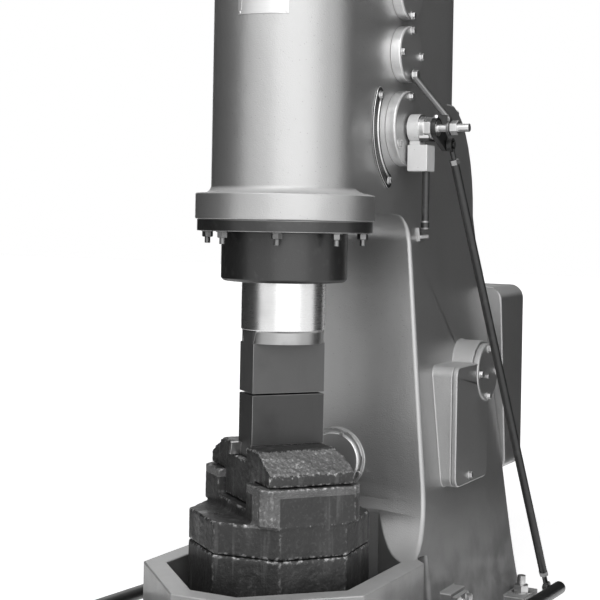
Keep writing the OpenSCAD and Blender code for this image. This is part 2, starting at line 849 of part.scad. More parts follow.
module upper_valve_cover_left() {
    color(ENAMEL) mirror([1, 0, 0]) valve_cover(small_cover_r, upper_valve_z);
}

// Hexagon along X from x0 to x1
module hex_x_bar(across, x0, x1) {
    translate([x0, 0, 0]) rotate([0, 90, 0]) cylinder(r = across / sqrt(3), h = x1 - x0, $fn = 6);
}

module valve_shaft() {
    color(BRIGHT) translate([0, valve_y, lower_valve_z]) {
        bar_x(shaft_r, block_half_w + fit_gap, stud_x);
        bar_x(hub_r, hub_x, collar_x);
        bar_x(collar_r, collar_x, hex_x);
        hex_x_bar(hex_across, hex_x, crank_x);
        bar_x(stud_r, stud_x, stud_x + stud_len);
        hex_x_bar(stud_nut_across, stud_nut_x, stud_nut_x + stud_nut_t);
    }
}

module lever_block() {
    top = lower_valve_z - hub_r - block_drop;
    color(BRIGHT) difference() {
        union() {
            translate([hub_x, valve_y - block_side / 2, top - lever_block_h])
                cube([block_side, block_side, lever_block_h]);
            translate([hub_x, valve_y - block_neck_w / 2, top])
                cube([hub_len, block_neck_w, hub_r + block_drop]);
        }
        translate([0, valve_y, lower_valve_z]) bar_x(hub_r + fit_gap, hub_x - EPS, collar_x + EPS);
        translate([lever_x, valve_y, top - lever_block_h - EPS])
            cylinder(r = lever_r + fit_gap, h = lever_block_h / 2 + EPS);
    }
}

module hand_lever() {
    foot = lower_valve_z - hub_r - block_drop - lever_block_h;
    color(STEEL) translate([lever_x, valve_y, foot - lever_len]) {
        cylinder(r = lever_r, h = lever_len + lever_block_h / 2 - fit_gap);
        rotate_extrude() polygon([
            [0, 0], [lever_knob_r - KNOB_CHAMFER, 0], [lever_knob_r, KNOB_CHAMFER],
            [lever_knob_r, KNOB_LEN - KNOB_CHAMFER], [lever_knob_r - KNOB_CHAMFER, KNOB_LEN], [0, KNOB_LEN]
        ]);
    }
}

module crank_arm() {
    color(BLACK) difference() {
        union() {
            along_x(crank_x + fit_gap, stud_x - fit_gap) hull() {
                translate([valve_y, lower_valve_z]) circle(r = crank_eye_r, $fn = 48);
                translate(crank_pin) circle(r = crank_end_r, $fn = 48);
            }
            translate([0, crank_pin[0], crank_pin[1]])
                bar_x(crank_pin_r, stud_x - EPS, rod_top_x + rod_eye_t / 2 + PIN_STAND);
        }
        translate([0, valve_y, lower_valve_z]) bar_x(shaft_r + fit_gap, crank_x - EPS, stud_x + EPS);
    }
}

module shaft_brace() {
    top_z = middle_valve_z - BRACE_FOOT_SHARE * small_cover_r;
    color(STEEL) difference() {
        union() {
            hull() {
                translate([cover_face_x, valve_y, top_z]) bar_x(brace_w / 2, 0, brace_t, $fn = 32);
                translate([brace_x, valve_y, lower_valve_z + brace_eye_r])
                    bar_x(brace_w / 2, 0, brace_t, $fn = 32);
            }
            translate([brace_x, valve_y, lower_valve_z]) bar_x(brace_eye_r, 0, brace_t);
        }
        translate([brace_x, valve_y, lower_valve_z]) bar_x(stud_r + pin_gap, -EPS, brace_t + EPS);
        translate([stud_x, valve_y, lower_valve_z]) bar_x(stud_nut_across, 0, brace_x - stud_x);
    }
}

// Band of a circle in the plane, between the quadrant plate's ends
module quadrant_band(in_r, out_r) {
    turn = quadrant_up + quadrant_down;
    intersection() {
        difference() {
            circle(r = out_r);
            circle(r = in_r);
        }
        polygon(concat([[0, 0]], [for (i = [0:WEDGE_STEPS])
            let (a = 180 - quadrant_up + turn * i / WEDGE_STEPS)
            2 * out_r * [cos(a), sin(a)]]));
    }
}

module quadrant_plate() {
    mid = (quadrant_in_r + quadrant_out_r) / 2;
    color(BLACK) translate([block_half_w, valve_y, lower_valve_z]) rotate([90, 0, 90]) difference() {
        linear_extrude(quadrant_t) {
            quadrant_band(quadrant_in_r, quadrant_out_r);
            for (a = [180 - quadrant_up, 180 + quadrant_down])
                rotate(a) translate([mid, 0]) circle(r = quadrant_end_r);
        }
        translate([0, 0, quadrant_t / 2]) linear_extrude(quadrant_t)
            quadrant_band(mid - quadrant_groove_w / 2, mid + quadrant_groove_w / 2);
    }
}

module lever_stop() {
    color(STEEL) on_column_side(stop_y, throat_top - stop_drop) {
        translate([-STOP_PLATE[0] / 2, -STOP_PLATE[1] / 2, 0]) cube(STOP_PLATE);
        translate([STOP_PIN_OFF, 0, 0]) cylinder(r = STOP_PIN_R, h = stop_pin_len);
    }
}

module pull_rod() {
    lean_x = -asin(rod_vector[1] / rod_len);
    lean_y = atan2(rod_vector[0], rod_vector[2]);
    color(BLACK) translate([rod_foot_x, rod_foot[0], rod_foot[1]]) difference() {
        union() {
            bar_x(rod_eye_r, -rod_eye_t / 2, rod_eye_t / 2);
            translate(rod_vector) bar_x(rod_eye_r, -rod_eye_t / 2, rod_eye_t / 2);
            rotate([0, lean_y, 0]) rotate([lean_x, 0, 0]) {
                cylinder(r = rod_neck_r, h = rod_len);
                translate([0, 0, rod_neck_len]) cylinder(r = rod_r, h = rod_len - 2 * rod_neck_len);
            }
        }
        bar_x(rod_pin_r + pin_gap, -rod_eye_t, rod_eye_t);
        translate(rod_vector) bar_x(crank_pin_r + open_eye_gap, -rod_eye_t, rod_eye_t);
    }
}

// One quarter bend of the treadle's bar, from the +X direction to the -Y one
module treadle_bend() {
    rotate_extrude(angle = 90) translate([treadle_bend_r, 0]) circle(r = treadle_bar_r);
}

module treadle_side(rear) {
    translate([treadle_half_w, treadle_bend_r - treadle_front, 0]) rotate([-90, 0, 0])
        cylinder(r = treadle_bar_r, h = treadle_front - treadle_bend_r + rear);
    translate([treadle_half_w - treadle_bend_r, treadle_bend_r - treadle_front, 0])
        rotate([0, 0, -90]) treadle_bend();
    bar_x(pivot_eye_r, treadle_half_w - pivot_eye_len / 2, treadle_half_w + pivot_eye_len / 2);
}

module treadle() {
    front_half = treadle_half_w - treadle_bend_r;
    bore_r = pivot_pin_r + pin_gap;
    color(BLACK)
        translate([0, treadle_pivot_y, treadle_pivot_z]) rotate([-treadle_tilt, 0, 0]) difference() {
            union() {
                treadle_side(treadle_rear);
                mirror([1, 0, 0]) treadle_side(0);
                translate([0, -treadle_front, 0]) bar_x(treadle_bar_r, -front_half, front_half);
                translate([0, rod_arm, 0])
                    bar_x(rod_pin_r, rod_foot_x - rod_eye_t / 2 - PIN_STAND, treadle_half_w);
            }
            both_sides() bar_x(bore_r, treadle_half_w - pivot_eye_len, treadle_half_w + pivot_eye_len);
        }
}

module treadle_bracket() {
    reach = treadle_half_w - pivot_eye_len / 2 - PIN_STAND;
    translate([0, treadle_pivot_y, treadle_pivot_z]) {
        translate([bracket_x, -bracket_side / 2, -bracket_side / 2])
            cube([bracket_t, bracket_side, bracket_side]);
        bar_x(pivot_pin_r + BRACKET_ARM_STEP, bracket_x + bracket_t, reach);
        bar_x(pivot_pin_r, reach, treadle_half_w + pivot_eye_len / 2 + PIN_STAND);
    }
}

module treadle_bracket_right() {
    color(ENAMEL) treadle_bracket();
}

module treadle_bracket_left() {
    color(ENAMEL) mirror([1, 0, 0]) treadle_bracket();
}

module crankcase_cover() {
    difference() {
        along_x(pad_half_w, pad_half_w + pad_cover_t) pad_outline();
        translate([0, bearing_y, bearing_z])
            bar_x(bearing_cap_r + fit_gap, pad_half_w - EPS, pad_half_w + pad_cover_t + EPS);
    }
}

module crankcase_cover_right() {
    color(ENAMEL) crankcase_cover();
}

module crankcase_cover_left() {
    color(ENAMEL) mirror([1, 0, 0]) crankcase_cover();
}

module bearing_cap() {
    translate([pad_half_w, bearing_y, bearing_z]) rotate([0, 90, 0])
        chamfered_disc(bearing_cap_r, bearing_cap_t, CAP_CHAMFER);
}

module bearing_cap_right() {
    color(ENAMEL) bearing_cap();
}

module bearing_cap_left() {
    color(ENAMEL) mirror([1, 0, 0]) bearing_cap();
}

module front_cover() {
    color(ENAMEL) on_column_front(front_cover_z) translate([0, 0, front_boss_t])
        chamfered_disc(front_cover_r, front_cover_t, CAP_CHAMFER);
}

// Rounded outline of the gear case in the X-Z plane, shrunk by inset
module gear_case_outline(inset) {
    r = gear_case_r - inset;
    hull() {
        for (x = [-1, 1])
            for (z = [gear_case_bottom + gear_case_r, gear_case_top - gear_case_r])
                translate([x * (gear_case_half_w - gear_case_r), z]) circle(r = r, $fn = 32);
    }
}

module gear_case() {
    front = column_back(gear_case_top) - EPS;
    color(ENAMEL) difference() {
        translate([0, gear_case_back, 0]) rotate([90, 0, 0])
            linear_extrude(gear_case_back - front) gear_case_outline(0);
        rotate([90, 0, 90]) linear_extrude(3 * gear_case_half_w, center = true) polygon([
            [front - EPS, gear_case_top + EPS],
            [column_back(gear_case_top + EPS), gear_case_top + EPS],
            [column_back(gear_case_bottom - EPS), gear_case_bottom - EPS],
            [front - EPS, gear_case_bottom - EPS]
        ]);
    }
}

module gear_case_cover() {
    color(ENAMEL) translate([0, gear_case_back + gear_cover_t, 0]) rotate([90, 0, 0]) difference() {
        linear_extrude(gear_cover_t) gear_case_outline(gear_cover_rim);
        translate([motor_x, motor_z, -EPS])
            cylinder(r = motor_flange_r + FLANGE_GAP, h = gear_cover_t + 2 * EPS);
    }
}

module drive_motor() {
    color(ENAMEL) translate([motor_x, gear_case_back, motor_z]) rotate([-90, 0, 0]) {
        cylinder(r = motor_flange_r, h = motor_flange_t);
        cylinder(r = motor_r, h = motor_len);
        for (i = [0:motor_fins - 1])
            rotate([0, 0, 360 * i / motor_fins])
                translate([0, -motor_fin_t / 2, motor_flange_t + FIN_INSET])
                    cube([motor_r + motor_fin_h, motor_fin_t, motor_len - motor_flange_t - 2 * FIN_INSET]);
    }
}

module motor_fan_cowl() {
    cowl_r = motor_r + motor_fin_h;
    color(ENAMEL) translate([motor_x, gear_case_back + motor_len, motor_z]) rotate([-90, 0, 0])
        rotate_extrude() polygon([[0, 0], [cowl_r, 0], [cowl_r, cowl_len - COWL_CHAMFER],
            [cowl_r - COWL_CHAMFER, cowl_len], [0, cowl_len]]);
}

module motor_terminal_box() {
    color(ENAMEL) translate([
        motor_x - terminal_w / 2, gear_case_back + motor_len / 2 - terminal_len / 2,
        motor_z + motor_r + motor_fin_h
    ]) cube([terminal_w, terminal_len, terminal_h]);
}

module nameplate() {
    inner = block_half_w + fit_gap;
    color(BRIGHT) translate([0, 0, flange_z + plate_rise])
        rotate([0, 0, -90 + plate_turn - plate_angle / 2])
            rotate_extrude(angle = plate_angle) translate([inner, 0]) square([plate_t, plate_h]);
}

frame_base();
frame_column();
cylinder_block();
working_cylinder_head();
compressor_cylinder_head();
gland_ring();
guide_sleeve();
ram();
upper_die();
upper_die_key();
lower_die();
lower_die_key();
anvil_cap();
anvil_upper_block();
anvil_lower_block();
lower_valve_cover_right();
middle_valve_cover_right();
upper_valve_cover_right();
lower_valve_cover_left();
middle_valve_cover_left();
upper_valve_cover_left();
valve_shaft();
lever_block();
hand_lever();
crank_arm();
shaft_brace();
quadrant_plate();
lever_stop();
pull_rod();
treadle();
treadle_bracket_right();
treadle_bracket_left();
crankcase_cover_right();
crankcase_cover_left();
bearing_cap_right();
bearing_cap_left();
front_cover();
gear_case();
gear_case_cover();
drive_motor();
motor_fan_cowl();
motor_terminal_box();
nameplate();
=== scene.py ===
"""Looks of an air forging hammer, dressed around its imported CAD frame."""

import json
import logging
import math
from collections.abc import Callable, Iterator, Sequence
from contextlib import contextmanager
from dataclasses import dataclass
from enum import Enum

import bpy
from mathutils import Matrix, Vector


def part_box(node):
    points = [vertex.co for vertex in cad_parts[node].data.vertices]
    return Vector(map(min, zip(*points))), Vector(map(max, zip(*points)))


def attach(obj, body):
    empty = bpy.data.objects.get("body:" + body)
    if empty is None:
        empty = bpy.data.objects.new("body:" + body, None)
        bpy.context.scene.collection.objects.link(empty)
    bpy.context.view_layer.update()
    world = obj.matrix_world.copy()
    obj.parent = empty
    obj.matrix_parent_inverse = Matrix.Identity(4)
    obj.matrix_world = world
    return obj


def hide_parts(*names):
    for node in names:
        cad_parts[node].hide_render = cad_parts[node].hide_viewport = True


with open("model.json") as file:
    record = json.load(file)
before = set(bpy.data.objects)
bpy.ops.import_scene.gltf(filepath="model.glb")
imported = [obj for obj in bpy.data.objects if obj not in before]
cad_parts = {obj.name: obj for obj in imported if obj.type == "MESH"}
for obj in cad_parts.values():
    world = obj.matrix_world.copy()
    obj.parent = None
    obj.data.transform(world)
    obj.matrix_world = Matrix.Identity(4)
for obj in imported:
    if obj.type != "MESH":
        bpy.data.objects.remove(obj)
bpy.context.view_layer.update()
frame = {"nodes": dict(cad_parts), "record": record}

LOG = logging.getLogger("hammer")
MERGE_DISTANCE = 1e-5
FLAT_ANGLE = math.radians(0.6)
SMOOTH_ANGLE = math.radians(32)
# Least share of a normal along an axis for a face that looks that way.
FACING = 0.9
# How far a thing set on a face sinks in, and how near to it points lie on it, in metres.
SKIN = 0.001
RIGHT, BACK, UP = Vector((1, 0, 0)), Vector((0, 1, 0)), Vector((0, 0, 1))
# Turn of each fastener from the one before, and of a hexagon onto itself, in degrees.
SPIN_STEP, HEX_TURN = 17, 60
SIDES = {"right": RIGHT, "left": -RIGHT}

Object = bpy.types.Object
Face = bpy.types.MeshPolygon
FaceTest = Callable[[Face], bool]
Spots = list[tuple[Vector, Vector]]
Triple = tuple[float, float, float]


class Body(str, Enum):
    """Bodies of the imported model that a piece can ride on."""

    FRAME = "frame"
    RAM = "ram"
    TREADLE = "treadle"
    PULL_ROD = "pull_rod"
    VALVE_LEVER = "valve_lever"


class Slot(str, Enum):
    """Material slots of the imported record."""

    GREY_ENAMEL = "grey_enamel"
    BLACK_IRON = "black_iron"
    POLISHED_RAM = "polished_ram"
    DIE_STEEL = "die_steel"
    OILY_ANVIL = "oily_anvil"
    MACHINED_STEEL = "machined_steel"
    LIGHT_ENAMEL = "light_enamel"
    PLATE_METAL = "plate_metal"


class Wire:
    """An output socket of a material's nodes, whose arithmetic adds Math nodes."""

    def __init__(self, bench: "Bench", socket: bpy.types.NodeSocket) -> None:
        """Keep the socket and the bench whose node tree it is in."""
        self.bench = bench
        self.socket = socket

    def _math(self, operation: str, first: "Wire | float", second: "Wire | float") -> "Wire":
        """Add one Math node on two values."""
        return self.bench.node("ShaderNodeMath", {"operation": operation}, {0: first, 1: second})

    def __add__(self, other: "Wire | float") -> "Wire":
        """Sum of two values, in either order."""
        return self._math("ADD", self, other)

    __radd__ = __add__

    def __sub__(self, other: "Wire | float") -> "Wire":
        """Difference of two values."""
        return self._math("SUBTRACT", self, other)

    def __rsub__(self, other: float) -> "Wire":
        """Difference from a number on the left."""
        return self._math("SUBTRACT", other, self)

    def __mul__(self, other: "Wire | float") -> "Wire":
        """Product of two values, in either order."""
        return self._math("MULTIPLY", self, other)

    __rmul__ = __mul__

    def at_least(self, other: "Wire | float") -> "Wire":
        """Greater of two values."""
        return self._math("MAXIMUM", self, other)


class Bench:
    """Node tree of one material, with one method that makes its nodes."""

    def __init__(self, name: str) -> None:
        """Start a material that holds one Principled shader.

        Args:
            name: Name of the material.
        """
        self.material = bpy.data.materials.new(name)
        self.material.use_nodes = True
        self.tree = self.material.node_tree
        self.tree.nodes.clear()
        self.shader = self.tree.nodes.new("ShaderNodeBsdfPrincipled")
        output = self.tree.nodes.new("ShaderNodeOutputMaterial")
        self.tree.links.new(self.shader.outputs[0], output.inputs["Surface"])
        self.place = self.node("ShaderNodeTexCoord", out="Object")

    @classmethod
    def of_tree(cls, tree: bpy.types.NodeTree) -> "Bench":
        """A bench on an emptied node tree, without a shader of its own."""
        bench = cls.__new__(cls)
        bench.tree = tree
        tree.nodes.clear()
        return bench

    def node(
        self,
        kind: str,
        settings: dict | None = None,
        inputs: dict | None = None,
        out: int | str | None = 0,
    ) -> Wire | None:
        """Add a node, set it up and feed its sockets.

        Args:
            kind: Blender's type name of the node.
            settings: Properties of the node, which are set first.
            inputs: Values or wires by the socket's name or number.
            out: Name or number of the output to return, or none.

        Returns:
            The chosen output as a wire, or none.
        """
        made = self.tree.nodes.new(kind)
        for key, value in (settings or {}).items():
            setattr(made, key, value)
        for key, value in (inputs or {}).items():
            self.feed(made.inputs[key], value)
        return None if out is None else Wire(self, made.outputs[out])

    def feed(self, socket: bpy.types.NodeSocket, value: "Wire | float | Sequence[float]") -> None:
        """Link a wire to a socket, or set the socket's own value."""
        if isinstance(value, Wire):
            self.tree.links.new(value.socket, socket)
        else:
            socket.default_value = value

    def shade(self, **sockets: "Wire | float | Sequence[float]") -> None:
        """Feed the Principled shader's sockets, named with underscores for blanks."""
        for key, value in sockets.items():
            self.feed(self.shader.inputs[key.replace("_", " ")], value)

    def noise(self, scale: float, detail: float, stretch: Triple = (1, 1, 1)) -> Wire:
        """Soft noise from 0 to 1.

        Args:
            scale: Spots per metre, about.
            detail: Octaves of finer noise.
            stretch: Factors on the coordinates, under 1 to draw the spots out.

        Returns:
            The noise's value.
        """
        where = self.node("ShaderNodeMapping", None, {"Vector": self.place, "Scale": stretch})
        inputs = {"Vector": where, "Scale": scale, "Detail": detail}
        return self.node("ShaderNodeTexNoise", None, inputs)

    def cells(self, scale: float) -> Wire:
        """Distance to the nearest of points strewn through space, for dark specks."""
        return self.node("ShaderNodeTexVoronoi", None, {"Vector": self.place, "Scale": scale})

    def ease(self, value: Wire, low: float, high: float) -> Wire:
        """Smooth step from 0 at low to 1 at high."""
        inputs = {"Value": value, "From Min": low, "From Max": high}
        return self.node("ShaderNodeMapRange", {"interpolation_type": "SMOOTHSTEP"}, inputs)

    def upright(self, vector: Wire) -> Wire:
        """Upright part of a vector."""
        return self.node("ShaderNodeSeparateXYZ", None, {0: vector}, "Z")

    def facing_up(self, low: float, high: float) -> Wire:
        """0 to 1 as the surface turns from upright to level."""
        return self.ease(self.upright(self.node("ShaderNodeNewGeometry", out="Normal")), low, high)

    def worn(self, low: float, high: float) -> Wire:
        """1 on the mesh's sharp convex edges, 0 on its flats."""
        return self.ease(self.node("ShaderNodeNewGeometry", out="Pointiness"), low, high)

    def mix(self, factor: Wire, first: "Wire | float", second: "Wire | float") -> Wire:
        """Grey between two greys."""
        return first + factor * (second - first)

    def dent(self, height: Wire, distance: float, below: Wire | None = None) -> Wire:
        """Bump of a height from 0 to 1.

        Args:
            height: Height over the surface.
            distance: Metres that a height of 1 stands for.
            below: Normal that the bump lies on, or none.

        Returns:
            The bumped normal.
        """
        inputs = {"Height": height, "Distance": distance, "Strength": 1.0}
        if below is not None:
            inputs["Normal"] = below
        return self.node("ShaderNodeBump", None, inputs)


@dataclass(frozen=True)
class Finish:
    """A finish, which makes its material once.

    Attributes:
        name: Name of the material.
        slot: The record's slot that the finish stands for; it is not used.
        tone: Grey of the surface, as linear reflectance.
        rough: Middle roughness.
    """

    name: str
    slot: Slot
    tone: float
    rough: float

    def material(self) -> bpy.types.Material:
        """The finish's material, made on first use."""
        made = bpy.data.materials.get(self.name)
        if made is None:
            bench = Bench(self.name)
            self.dress(bench)
            made = bench.material
        return made

    def dress(self, bench: Bench) -> None:
        """Build the nodes of the finish."""
        raise NotImplementedError


@dataclass(frozen=True)
class CastEnamel(Finish):
    """Silver-grey hammer enamel sprayed over a sand casting.

    Attributes:
        grime_and_shade: Share of the darkening near the floor, part grimy soiling and part painted
            shade.
        lump: Height of the casting's soft lumps, in metres.
        peel: Height of the enamel's fine peel.
        flake: Share of metal flake in the enamel.
        grime_and_shade_top: Heights up to which that darkening is full, and at which it ends.
        ragged: How far the darkening's upper border wanders up and down.
        grime_and_shade_tone: Grey of the darkening near the floor, part grimy soiling and part
            painted shade.
        dust_and_top_light_tone: Grey of the paler film on what faces up, part dusty film and part
            painted top light.
        gloss: Weight of the clear coat on clean enamel.
    """

    grime_and_shade: float = 0.95
    lump: float = 0.0010
    peel: float = 0.0006
    flake: float = 0.76
    grime_and_shade_top: tuple[float, float] = (0.16, 0.50)
    ragged: float = 0.22
    grime_and_shade_tone: float = 0.12
    dust_and_top_light_tone: float = 0.6
    gloss: float = 0.4

    def dress(self, bench: Bench) -> None:
        """Mottled grey with runs, dark specks, a paler dusty film on what faces up that is partly
        painted top light, and grimy soiling near the floor that is partly painted shade.
        """
        broad = bench.noise(1.7, 4)
        runs = bench.noise(9, 5, (1, 1, 0.10))
        grain = bench.noise(190, 2)
        dark_specks = 1 - bench.ease(bench.cells(70), 0.05, 0.12)
        # Darker towards the floor under a ragged border: part grimy soiling, part painted shade.
        border = bench.upright(bench.place) + self.ragged * (bench.noise(5, 5) - 0.5)
        patches = 0.62 + 0.38 * bench.ease(bench.noise(9, 5), 0.35, 0.7)
        grime_and_shade_mask = (1 - bench.ease(border, *self.grime_and_shade_top)) * patches * self.grime_and_shade
        # Paler and duller on what faces up: part dusty film, part painted top light.
        dust_and_top_light = bench.facing_up(0.08, 0.55) * (0.45 + 0.35 * runs)
        colour = self.tone * (0.84 + 0.2 * broad + 0.14 * runs) * (1 - 0.35 * dark_specks)
        dull = grime_and_shade_mask.at_least(dust_and_top_light)
        lumps = bench.dent(bench.noise(16, 3), self.lump)
        bench.shade(
            Base_Color=bench.mix(dust_and_top_light, bench.mix(grime_and_shade_mask, colour, self.grime_and_shade_tone), self.dust_and_top_light_tone),
            Metallic=self.flake * (1 - dull),
            Roughness=self.rough - 0.06 + 0.12 * broad + 0.06 * grain + 0.25 * dull,
            Coat_Weight=self.gloss * (1 - dull),
            Coat_Roughness=0.14,
            Normal=bench.dent(bench.noise(330, 1), self.peel, lumps),
        )


@dataclass(frozen=True)
class OiledBlack(Finish):
    """Black paint with a film of oil."""

    def dress(self, bench: Bench) -> None:
        """Near black, with dull rubbed patches and shiny oil."""
        film = bench.noise(11, 4)
        rubbed = bench.ease(bench.noise(38, 5), 0.55, 0.75)
        bench.shade(
            Base_Color=self.tone * (0.7 + 0.6 * film) + 0.02 * rubbed,
            Roughness=self.rough - 0.1 + 0.2 * film + 0.12 * rubbed,
            Coat_Weight=0.25,
            Coat_Roughness=0.2,
            Normal=bench.dent(bench.noise(240, 2), 0.0003),
        )


@dataclass(frozen=True)
class TurnedSteel(Finish):
    """Bare steel with fine tool marks round one axis.

    Attributes:
        grain: Stretch of the tool marks, large along the axis they cross.
        stain: Share of dull stains.
    """

    grain: Triple
    stain: float

    def dress(self, bench: Bench) -> None:
        """Metal with streaks of tool marks and dull stains."""
        marks = bench.noise(22, 3, self.grain)
        dull = bench.ease(bench.noise(6, 5), 0.52, 0.78) * self.stain
        bench.shade(
            Base_Color=self.tone * (0.9 + 0.14 * marks) * (1 - dull),
            Metallic=1.0,
            Roughness=self.rough + 0.08 * marks + 0.25 * dull,
            Normal=bench.dent(marks, 0.00006),
        )


@dataclass(frozen=True)
class DieFace(Finish):
    """Milled die steel, dulled by scale and oil.

    Attributes:
        stain: Share of dull stains and drips.
    """

    stain: float

    def dress(self, bench: Bench) -> None:
        """Satin grey with soft stains and faint scratches."""
        stain = bench.ease(bench.noise(7, 5), 0.48, 0.75) * self.stain
        drips = bench.ease(bench.noise(24, 4, (1, 1, 0.12)), 0.56, 0.72) * self.stain
        scratch = bench.noise(90, 3, (1, 1, 9))
        clean = self.tone * (0.92 + 0.16 * scratch)
        bench.shade(
            Base_Color=clean * (1 - 0.4 * stain) * (1 - 0.3 * drips),
            Metallic=0.3,
            Roughness=self.rough + 0.16 * stain + 0.05 * scratch,
            Normal=bench.dent(scratch, 0.00012),
        )


@dataclass(frozen=True)
class OilyIron(Finish):
    """Dark casting, wet with oil and scale, with bright worn edges.

    Attributes:
        wear: Share of bright metal on worn edges.
        crust: Depth of the crust, in metres.
        glint_grey: Grey of the pale specks painted in as glints that catch the light: painted
            highlight.
        drawn: Stretch of the painted glints and of the crust.
    """

    wear: float = 0.85
    crust: float = 0.0022
    glint_grey: float = 0.06
    drawn: Triple = (1, 1, 1)

    def dress(self, bench: Bench) -> None:
        """Black crust with oily gloss, grey stains that run down, painted glints, and worn edges.
        """
        film = bench.noise(8, 5)
        stain = bench.ease(bench.noise(13, 5, (1, 1, 0.22)), 0.5, 0.68)
        drips = bench.ease(bench.noise(42, 4, (1, 1, 0.07)), 0.58, 0.7)
        glint_flecks = bench.ease(bench.noise(120, 4, self.drawn), 0.52, 0.7)
        chips = bench.ease(bench.noise(75, 4), 0.46, 0.66)
        edge = bench.worn(0.506, 0.55) * chips * self.wear
        grey = self.tone * (0.15 + 1.5 * film) + (0.07 * stain + 0.09 * drips) * film
        # Pale specks added to the colour: painted glints, a painted highlight.
        grey = grey + self.glint_grey * glint_flecks * (0.4 + 0.6 * stain)
        crust = bench.dent(bench.noise(55, 6, self.drawn), self.crust)
        bench.shade(
            Base_Color=bench.mix(edge, grey, 0.66),
            Metallic=0.8 * edge,
            Roughness=(self.rough + 0.3 * film - 0.22 * stain - 0.1 * edge).at_least(0.16),
            Normal=bench.dent(bench.noise(260, 3), 0.0007, crust),
        )


@dataclass(frozen=True)
class SatinPlate(Finish):
    """Satin sheet metal with brushed lines round the cylinder."""

    def dress(self, bench: Bench) -> None:
        """Pale metal with level brush lines."""
        lines = bench.noise(60, 2, (0.2, 0.2, 14))
        bench.shade(
            Base_Color=self.tone * (0.94 + 0.12 * lines),
            Metallic=0.9,
            Roughness=self.rough + 0.1 * lines,
            Normal=bench.dent(lines, 0.00005),
        )


ENAMEL = CastEnamel("grey_enamel_coat", Slot.GREY_ENAMEL, 0.40, 0.36)
COVER_ENAMEL = CastEnamel("cover_enamel_coat", Slot.GREY_ENAMEL, 0.42, 0.36, 0.2, 0.0004)
LIGHT_ENAMEL = CastEnamel(
    "light_enamel_coat", Slot.LIGHT_ENAMEL, 0.78, 0.38, 0.1, 0.0003, 0.0004, 0.1
)
BLACK_IRON = OiledBlack("oiled_black", Slot.BLACK_IRON, 0.016, 0.40)
RAM_STEEL = TurnedSteel("ground_ram", Slot.POLISHED_RAM, 0.70, 0.24, (1, 1, 46), 0.15)
COLLAR_STEEL = TurnedSteel("ram_collar", Slot.POLISHED_RAM, 0.34, 0.32, (1, 1, 30), 0.5)
UPPER_DIE_STEEL = DieFace("upper_die_face", Slot.DIE_STEEL, 0.10, 0.42, 0.35)
LOWER_DIE_STEEL = DieFace("lower_die_face", Slot.DIE_STEEL, 0.053, 0.46, 0.6)
KEY_STEEL = TurnedSteel("key_steel", Slot.DIE_STEEL, 0.6, 0.3, (1, 1, 12), 0.2)
WORN_DIE = TurnedSteel("worn_die_edge", Slot.DIE_STEEL, 0.22, 0.40, (1, 1, 10), 0.5)
ANVIL_IRON = OilyIron("oily_anvil_iron", Slot.OILY_ANVIL, 0.027, 0.36)
ROUGH_CAST = OilyIron("rough_cast_iron", Slot.OILY_ANVIL, 0.15, 0.30, 0.95, 0.008, 0.36)
SCRAPED_IRON = OilyIron(
    "scraped_iron", Slot.OILY_ANVIL, 0.13, 0.30, 0.95, 0.003, 0.34, (1, 1, 9)
)
SHAFT_STEEL = TurnedSteel("turned_shaft", Slot.MACHINED_STEEL, 0.62, 0.26, (34, 1, 1), 0.3)
BOLT_STEEL = TurnedSteel("bolt_steel", Slot.MACHINED_STEEL, 0.62, 0.30, (1, 1, 8), 0.6)
DARK_STEEL = TurnedSteel("dark_steel", Slot.MACHINED_STEEL, 0.20, 0.36, (1, 1, 10), 0.5)
# Bright bare steel on rims, edges and the keeper plate; on the round covers' rims it stands in for
# rims lit from the front: a painted highlight.
RIM_STEEL_AND_HIGHLIGHT = TurnedSteel("bright_rim_and_painted_highlight", Slot.GREY_ENAMEL, 0.84, 0.34, (1, 30, 1), 0.25)
WORN_BLACK = TurnedSteel("worn_black_edge", Slot.BLACK_IRON, 0.30, 0.4, (1, 1, 10), 0.6)
PLATE = SatinPlate("satin_plate", Slot.PLATE_METAL, 0.62, 0.36)


def linked(name: str, data: bpy.types.ID) -> Object:
    """Add an object with the given data to the scene."""
    made = bpy.data.objects.new(name, data)
    bpy.context.scene.collection.objects.link(made)
    return made


def deselect_all() -> None:
    """Go to object mode with nothing selected."""
    if bpy.context.mode != "OBJECT":
        bpy.ops.object.mode_set(mode="OBJECT")
    bpy.ops.object.select_all(action="DESELECT")


def make_active(piece: Object) -> None:
    """Select one object alone and make it active."""
    deselect_all()
    piece.select_set(True)
    bpy.context.view_layer.objects.active = piece


def shape(piece: Object, kind: str, **settings: object) -> None:
    """Add a modifier to a piece and apply it.

    Args:
        piece: The object to shape.
        kind: Blender's type name of the modifier.
        **settings: Properties of the modifier.
    """
    make_active(piece)
    modifier = piece.modifiers.new(kind.title(), kind)
    for key, value in settings.items():
        setattr(modifier, key, value)
    bpy.ops.object.modifier_apply(modifier=modifier.name)


@contextmanager
def editing(piece: Object, test: FaceTest | None = None) -> Iterator[None]:
    """Edit a piece, and go back to object mode afterwards.

    Args:
        piece: The object.
        test: Test for the faces that are selected, or none to select the whole mesh.
    """
    make_active(piece)
    bpy.ops.object.mode_set(mode="EDIT")
    if test is None:
        bpy.ops.mesh.select_all(action="SELECT")
    else:
        bpy.ops.mesh.select_mode(type="FACE")
        bpy.ops.mesh.select_all(action="DESELECT")
        bpy.ops.object.mode_set(mode="OBJECT")
        for face in piece.data.polygons:
            face.select = test(face)
        bpy.ops.object.mode_set(mode="EDIT")
    yield
    bpy.ops.object.mode_set(mode="OBJECT")


def faces_up(face: Face) -> bool:
    """Whether a face looks up."""
    return face.normal.z > FACING


